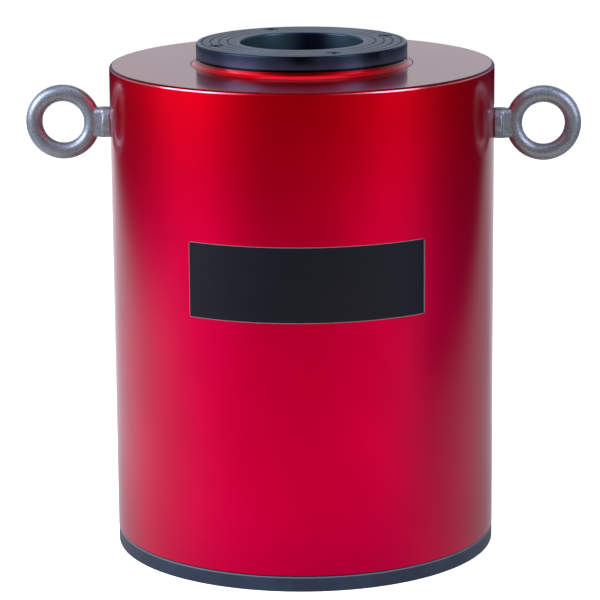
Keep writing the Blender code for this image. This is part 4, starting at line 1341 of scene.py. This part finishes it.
class SetStudio(bpy.types.Operator):
    """Set the floor, the soft boxes, the white surroundings and the camera"""

    bl_idname = "cylinder.set_studio"
    bl_label = "Studio"

    def execute(self, context):
        scene = context.scene
        scene.view_settings.view_transform = "Standard"
        self.floor()
        self.surroundings(scene)
        self.lamps()
        self.camera(scene)
        return {"FINISHED"}

    def floor(self):
        start()
        bpy.ops.mesh.primitive_circle_add(vertices=128, radius=FLOOR_RADIUS, fill_type="NGON")
        floor = bpy.context.object
        floor.name = "studio_floor"
        tree = finish("white_floor")
        x, y, _ = tree.place()
        seen = tree.node("LightPath", None, "Is Camera Ray")
        glossy = tree.node("LightPath", None, "Is Glossy Ray")
        paint = tree.node("BsdfDiffuse", {"Color": (0.80, 0.80, 0.80, 1.0)})
        glow = tree.node("Emission", {"Strength": seen * FLOOR_GLOW})
        both = tree.node("AddShader", {0: paint, 1: glow})
        away = tree.radius()
        fade = tree.rise(away, FLOOR_NEAR, FLOOR_FAR, 1.0, 0.0)
        paper = tree.rise(x, *PAPER_LEFT) * tree.rise(x - y * PAPER_SLANT, *PAPER_RIGHT, 1.0, 0.0)
        beyond = tree.rise(y / away, *BEYOND)
        level = tree.rise(x, *PAPER_ACROSS, *PAPER_LEVELS)
        paper = paper * (level + beyond * (tree.rise(x, *PAPER_ACROSS, *BEYOND_LEVELS) - level))
        # Painted contact shadow: the paper's mirror image dims close to the object's foot.
        paper = paper * tree.rise(away, *PAPER_FOOT_SPAN, PAPER_FOOT, 1.0)
        front = fade * tree.rise(x, *FRONT_ACROSS, *FLOOR_FRONT)
        ahead = tree.rise(y, *PAPER_EDGE, 1.0, 0.0)
        image = tree.node("Emission", {
            "Strength": paper + ahead * (front - paper),
            "Color": tree.mix(ahead, (1.0, 1.0, 1.0), FLOOR_WARMTH),
        })
        mixed = tree.node("MixShader", {0: glossy, 1: both, 2: image})
        tree.node("OutputMaterial", {"Surface": mixed})
        floor.data.materials.append(tree.owner)

    def surroundings(self, scene):
        """White to the camera. Metal sees white behind the object and a dim studio in front."""
        scene.world = bpy.data.worlds.new("studio_world")
        tree = Tree(scene.world)
        direction = tree.node("TexCoord", output="Generated")
        y = tree.node("SeparateXYZ", {0: direction}, 1)
        z = tree.node("SeparateXYZ", {0: direction}, 2)
        sheet = tree.rise(z, *SHEET_FOOT) * tree.rise(z, *SHEET_HEAD, 1.0, OVER_SHEET)
        behind = tree.rise(y, *WHITE_FROM) * sheet * SHEET_LEVEL
        behind = behind + tree.rise(y, *FRONT_UNTIL, FRONT_LEVEL, 0.0)
        camera = tree.node("LightPath", None, "Is Camera Ray")
        glossy = tree.node("LightPath", None, "Is Glossy Ray")
        level = camera + (1.0 - camera) * (glossy * behind + (1.0 - glossy) * FILL_LEVEL)
        glow = tree.node("Background", {"Color": (1.0, 1.0, 1.0, 1.0), "Strength": level})
        tree.node("OutputWorld", {"Surface": glow})

    def lamps(self):
        for name, place, aim, width, height, power in SOFT_BOXES:
            start()
            bpy.ops.object.light_add(type="AREA", location=place)
            lamp = bpy.context.object
            lamp.name = name
            lamp.data.shape = "RECTANGLE"
            lamp.data.size = width
            lamp.data.size_y = height
            lamp.data.energy = power
            lamp.data.color = LAMP_COLOUR
            lamp.rotation_euler = (Vector(aim) - Vector(place)).to_track_quat("-Z", "Y").to_euler()

    def camera(self, scene):
        start()
        bpy.ops.object.camera_add()
        camera = bpy.context.object
        camera.name = "photo_camera"
        camera.data.lens = CAMERA_LENS
        camera.data.sensor_width = 36.0
        camera.data.clip_start = 0.1
        camera.data.clip_end = 50.0
        forward = Vector((
            math.sin(CAMERA_YAW) * math.cos(CAMERA_PITCH),
            math.cos(CAMERA_YAW) * math.cos(CAMERA_PITCH), -math.sin(CAMERA_PITCH),
        ))
        right = forward.cross(Vector((0.0, 0.0, 1.0))).normalized()
        up = right.cross(forward)
        tilted = math.cos(CAMERA_ROLL) * right + math.sin(CAMERA_ROLL) * up
        upward = math.cos(CAMERA_ROLL) * up - math.sin(CAMERA_ROLL) * right
        turn = Matrix((tilted, upward, -forward)).transposed().to_4x4()
        stand = Matrix.Translation((*CAMERA_PLACE, CAMERA_HEIGHT)) @ turn
        camera.matrix_world = Matrix.Rotation(OBJECT_TURN, 4, "Z") @ stand
        scene.camera = camera


# Studio
FLOOR_RADIUS = 1.95
FLOOR_GLOW = 0.85
FLOOR_NEAR = 0.10               # where the front floor's mirror image begins to fade
FLOOR_FAR = 1.60
FRONT_ACROSS = (-0.3, 0.4)      # from left to right
FLOOR_FRONT = (1.02, 1.72)      # its brightness at the left and at the right
FLOOR_WARMTH = (1.0, 0.80, 0.48)
PAPER_LEFT = (-1.26, -0.74)     # where the white paper's mirror image ends
PAPER_SLANT = 0.35              # its right edge runs outwards behind the object
PAPER_RIGHT = (0.50, 0.84)
PAPER_EDGE = (-0.50, -0.12)
PAPER_ACROSS = (-0.4, 0.5)      # from left to right
PAPER_LEVELS = (0.86, 0.48)     # its brightness at the left and at the right
BEYOND = (0.75, 0.95)           # how straight behind the object a place lies
BEYOND_LEVELS = (1.05, 0.72)    # the brightness there
PAPER_FOOT_SPAN = (0.14, 0.42)  # distances from the main axis
PAPER_FOOT = 0.75               # its share close to the object's foot: a painted contact shadow
WHITE_FROM = (-0.30, 0.50)      # where the surroundings turn from dim to white, along Y
FRONT_UNTIL = (-0.3, 0.1)       # where the dim studio in front ends
SHEET_FOOT = (-0.10, 0.08)      # where the white sheet begins and ends, upwards
SHEET_HEAD = (0.30, 0.60)
SHEET_LEVEL = 0.80
OVER_SHEET = 0.25               # the share that is left above it
FRONT_LEVEL = 0.09
FILL_LEVEL = 0.35
LAMP_COLOUR = (1.0, 0.98, 1.22)
OBJECT_TURN = math.radians(3.5) # the object stands turned by this, so the camera goes round it
CAMERA_LENS = 181.27
CAMERA_PLACE = (-0.00144, -2.13916)
CAMERA_HEIGHT = 0.67357
CAMERA_PITCH = 0.22813
CAMERA_YAW = -0.00057
CAMERA_ROLL = -0.00837
SOFT_BOXES = (
    # name, place, aim, width, height, power
    ("left_box", (-1.66, -0.78, 1.15), (0.0, 0.0, 0.2), 1.5, 1.6, 55.0),
    ("right_box", (1.55, -0.90, 1.15), (0.0, 0.0, 0.2), 0.9, 1.6, 26.0),
    ("top_box", (0.0, -0.1, 1.7), (0.0, 0.0, 0.3), 1.2, 1.0, 5.0),
)

PIECES = (
    AddBody, AddGlandRings, AddBase, AddBottomHead, AddPlunger, AddSaddle, AddReturnSpring, AddEyes,
    AddCoupler, AddDustCap, AddLabel, SetStudio,
)


class CylinderPanel(bpy.types.Panel):
    """Sizes, colours and pieces of the cylinder"""

    bl_idname = "VIEW3D_PT_hollow_plunger_cylinder"
    bl_label = "Hollow plunger cylinder"
    bl_space_type = "VIEW_3D"
    bl_region_type = "UI"
    bl_category = "Cylinder"

    def draw(self, context):
        looks = context.scene.cylinder_looks
        for group in (looks.body, looks.base, looks.plunger, looks.fittings, looks.colours):
            box = self.layout.box()
            for name in group.__annotations__:
                box.prop(group, name)
        for piece in PIECES:
            self.layout.operator(piece.bl_idname)


CLASSES = (
    BodySizes, BaseSizes, PlungerSizes, FittingSizes, Colours, CylinderLooks, *PIECES, CylinderPanel,
)


def register():
    for each in CLASSES:
        bpy.utils.register_class(each)
    bpy.types.Scene.cylinder_looks = PointerProperty(type=CylinderLooks)


def unregister():
    del bpy.types.Scene.cylinder_looks
    for each in reversed(CLASSES):
        bpy.utils.unregister_class(each)


def main():
    register()
    for piece in PIECES:
        group, name = piece.bl_idname.split(".")
        getattr(getattr(bpy.ops, group), name)()


if __name__ == "__main__":
    main()
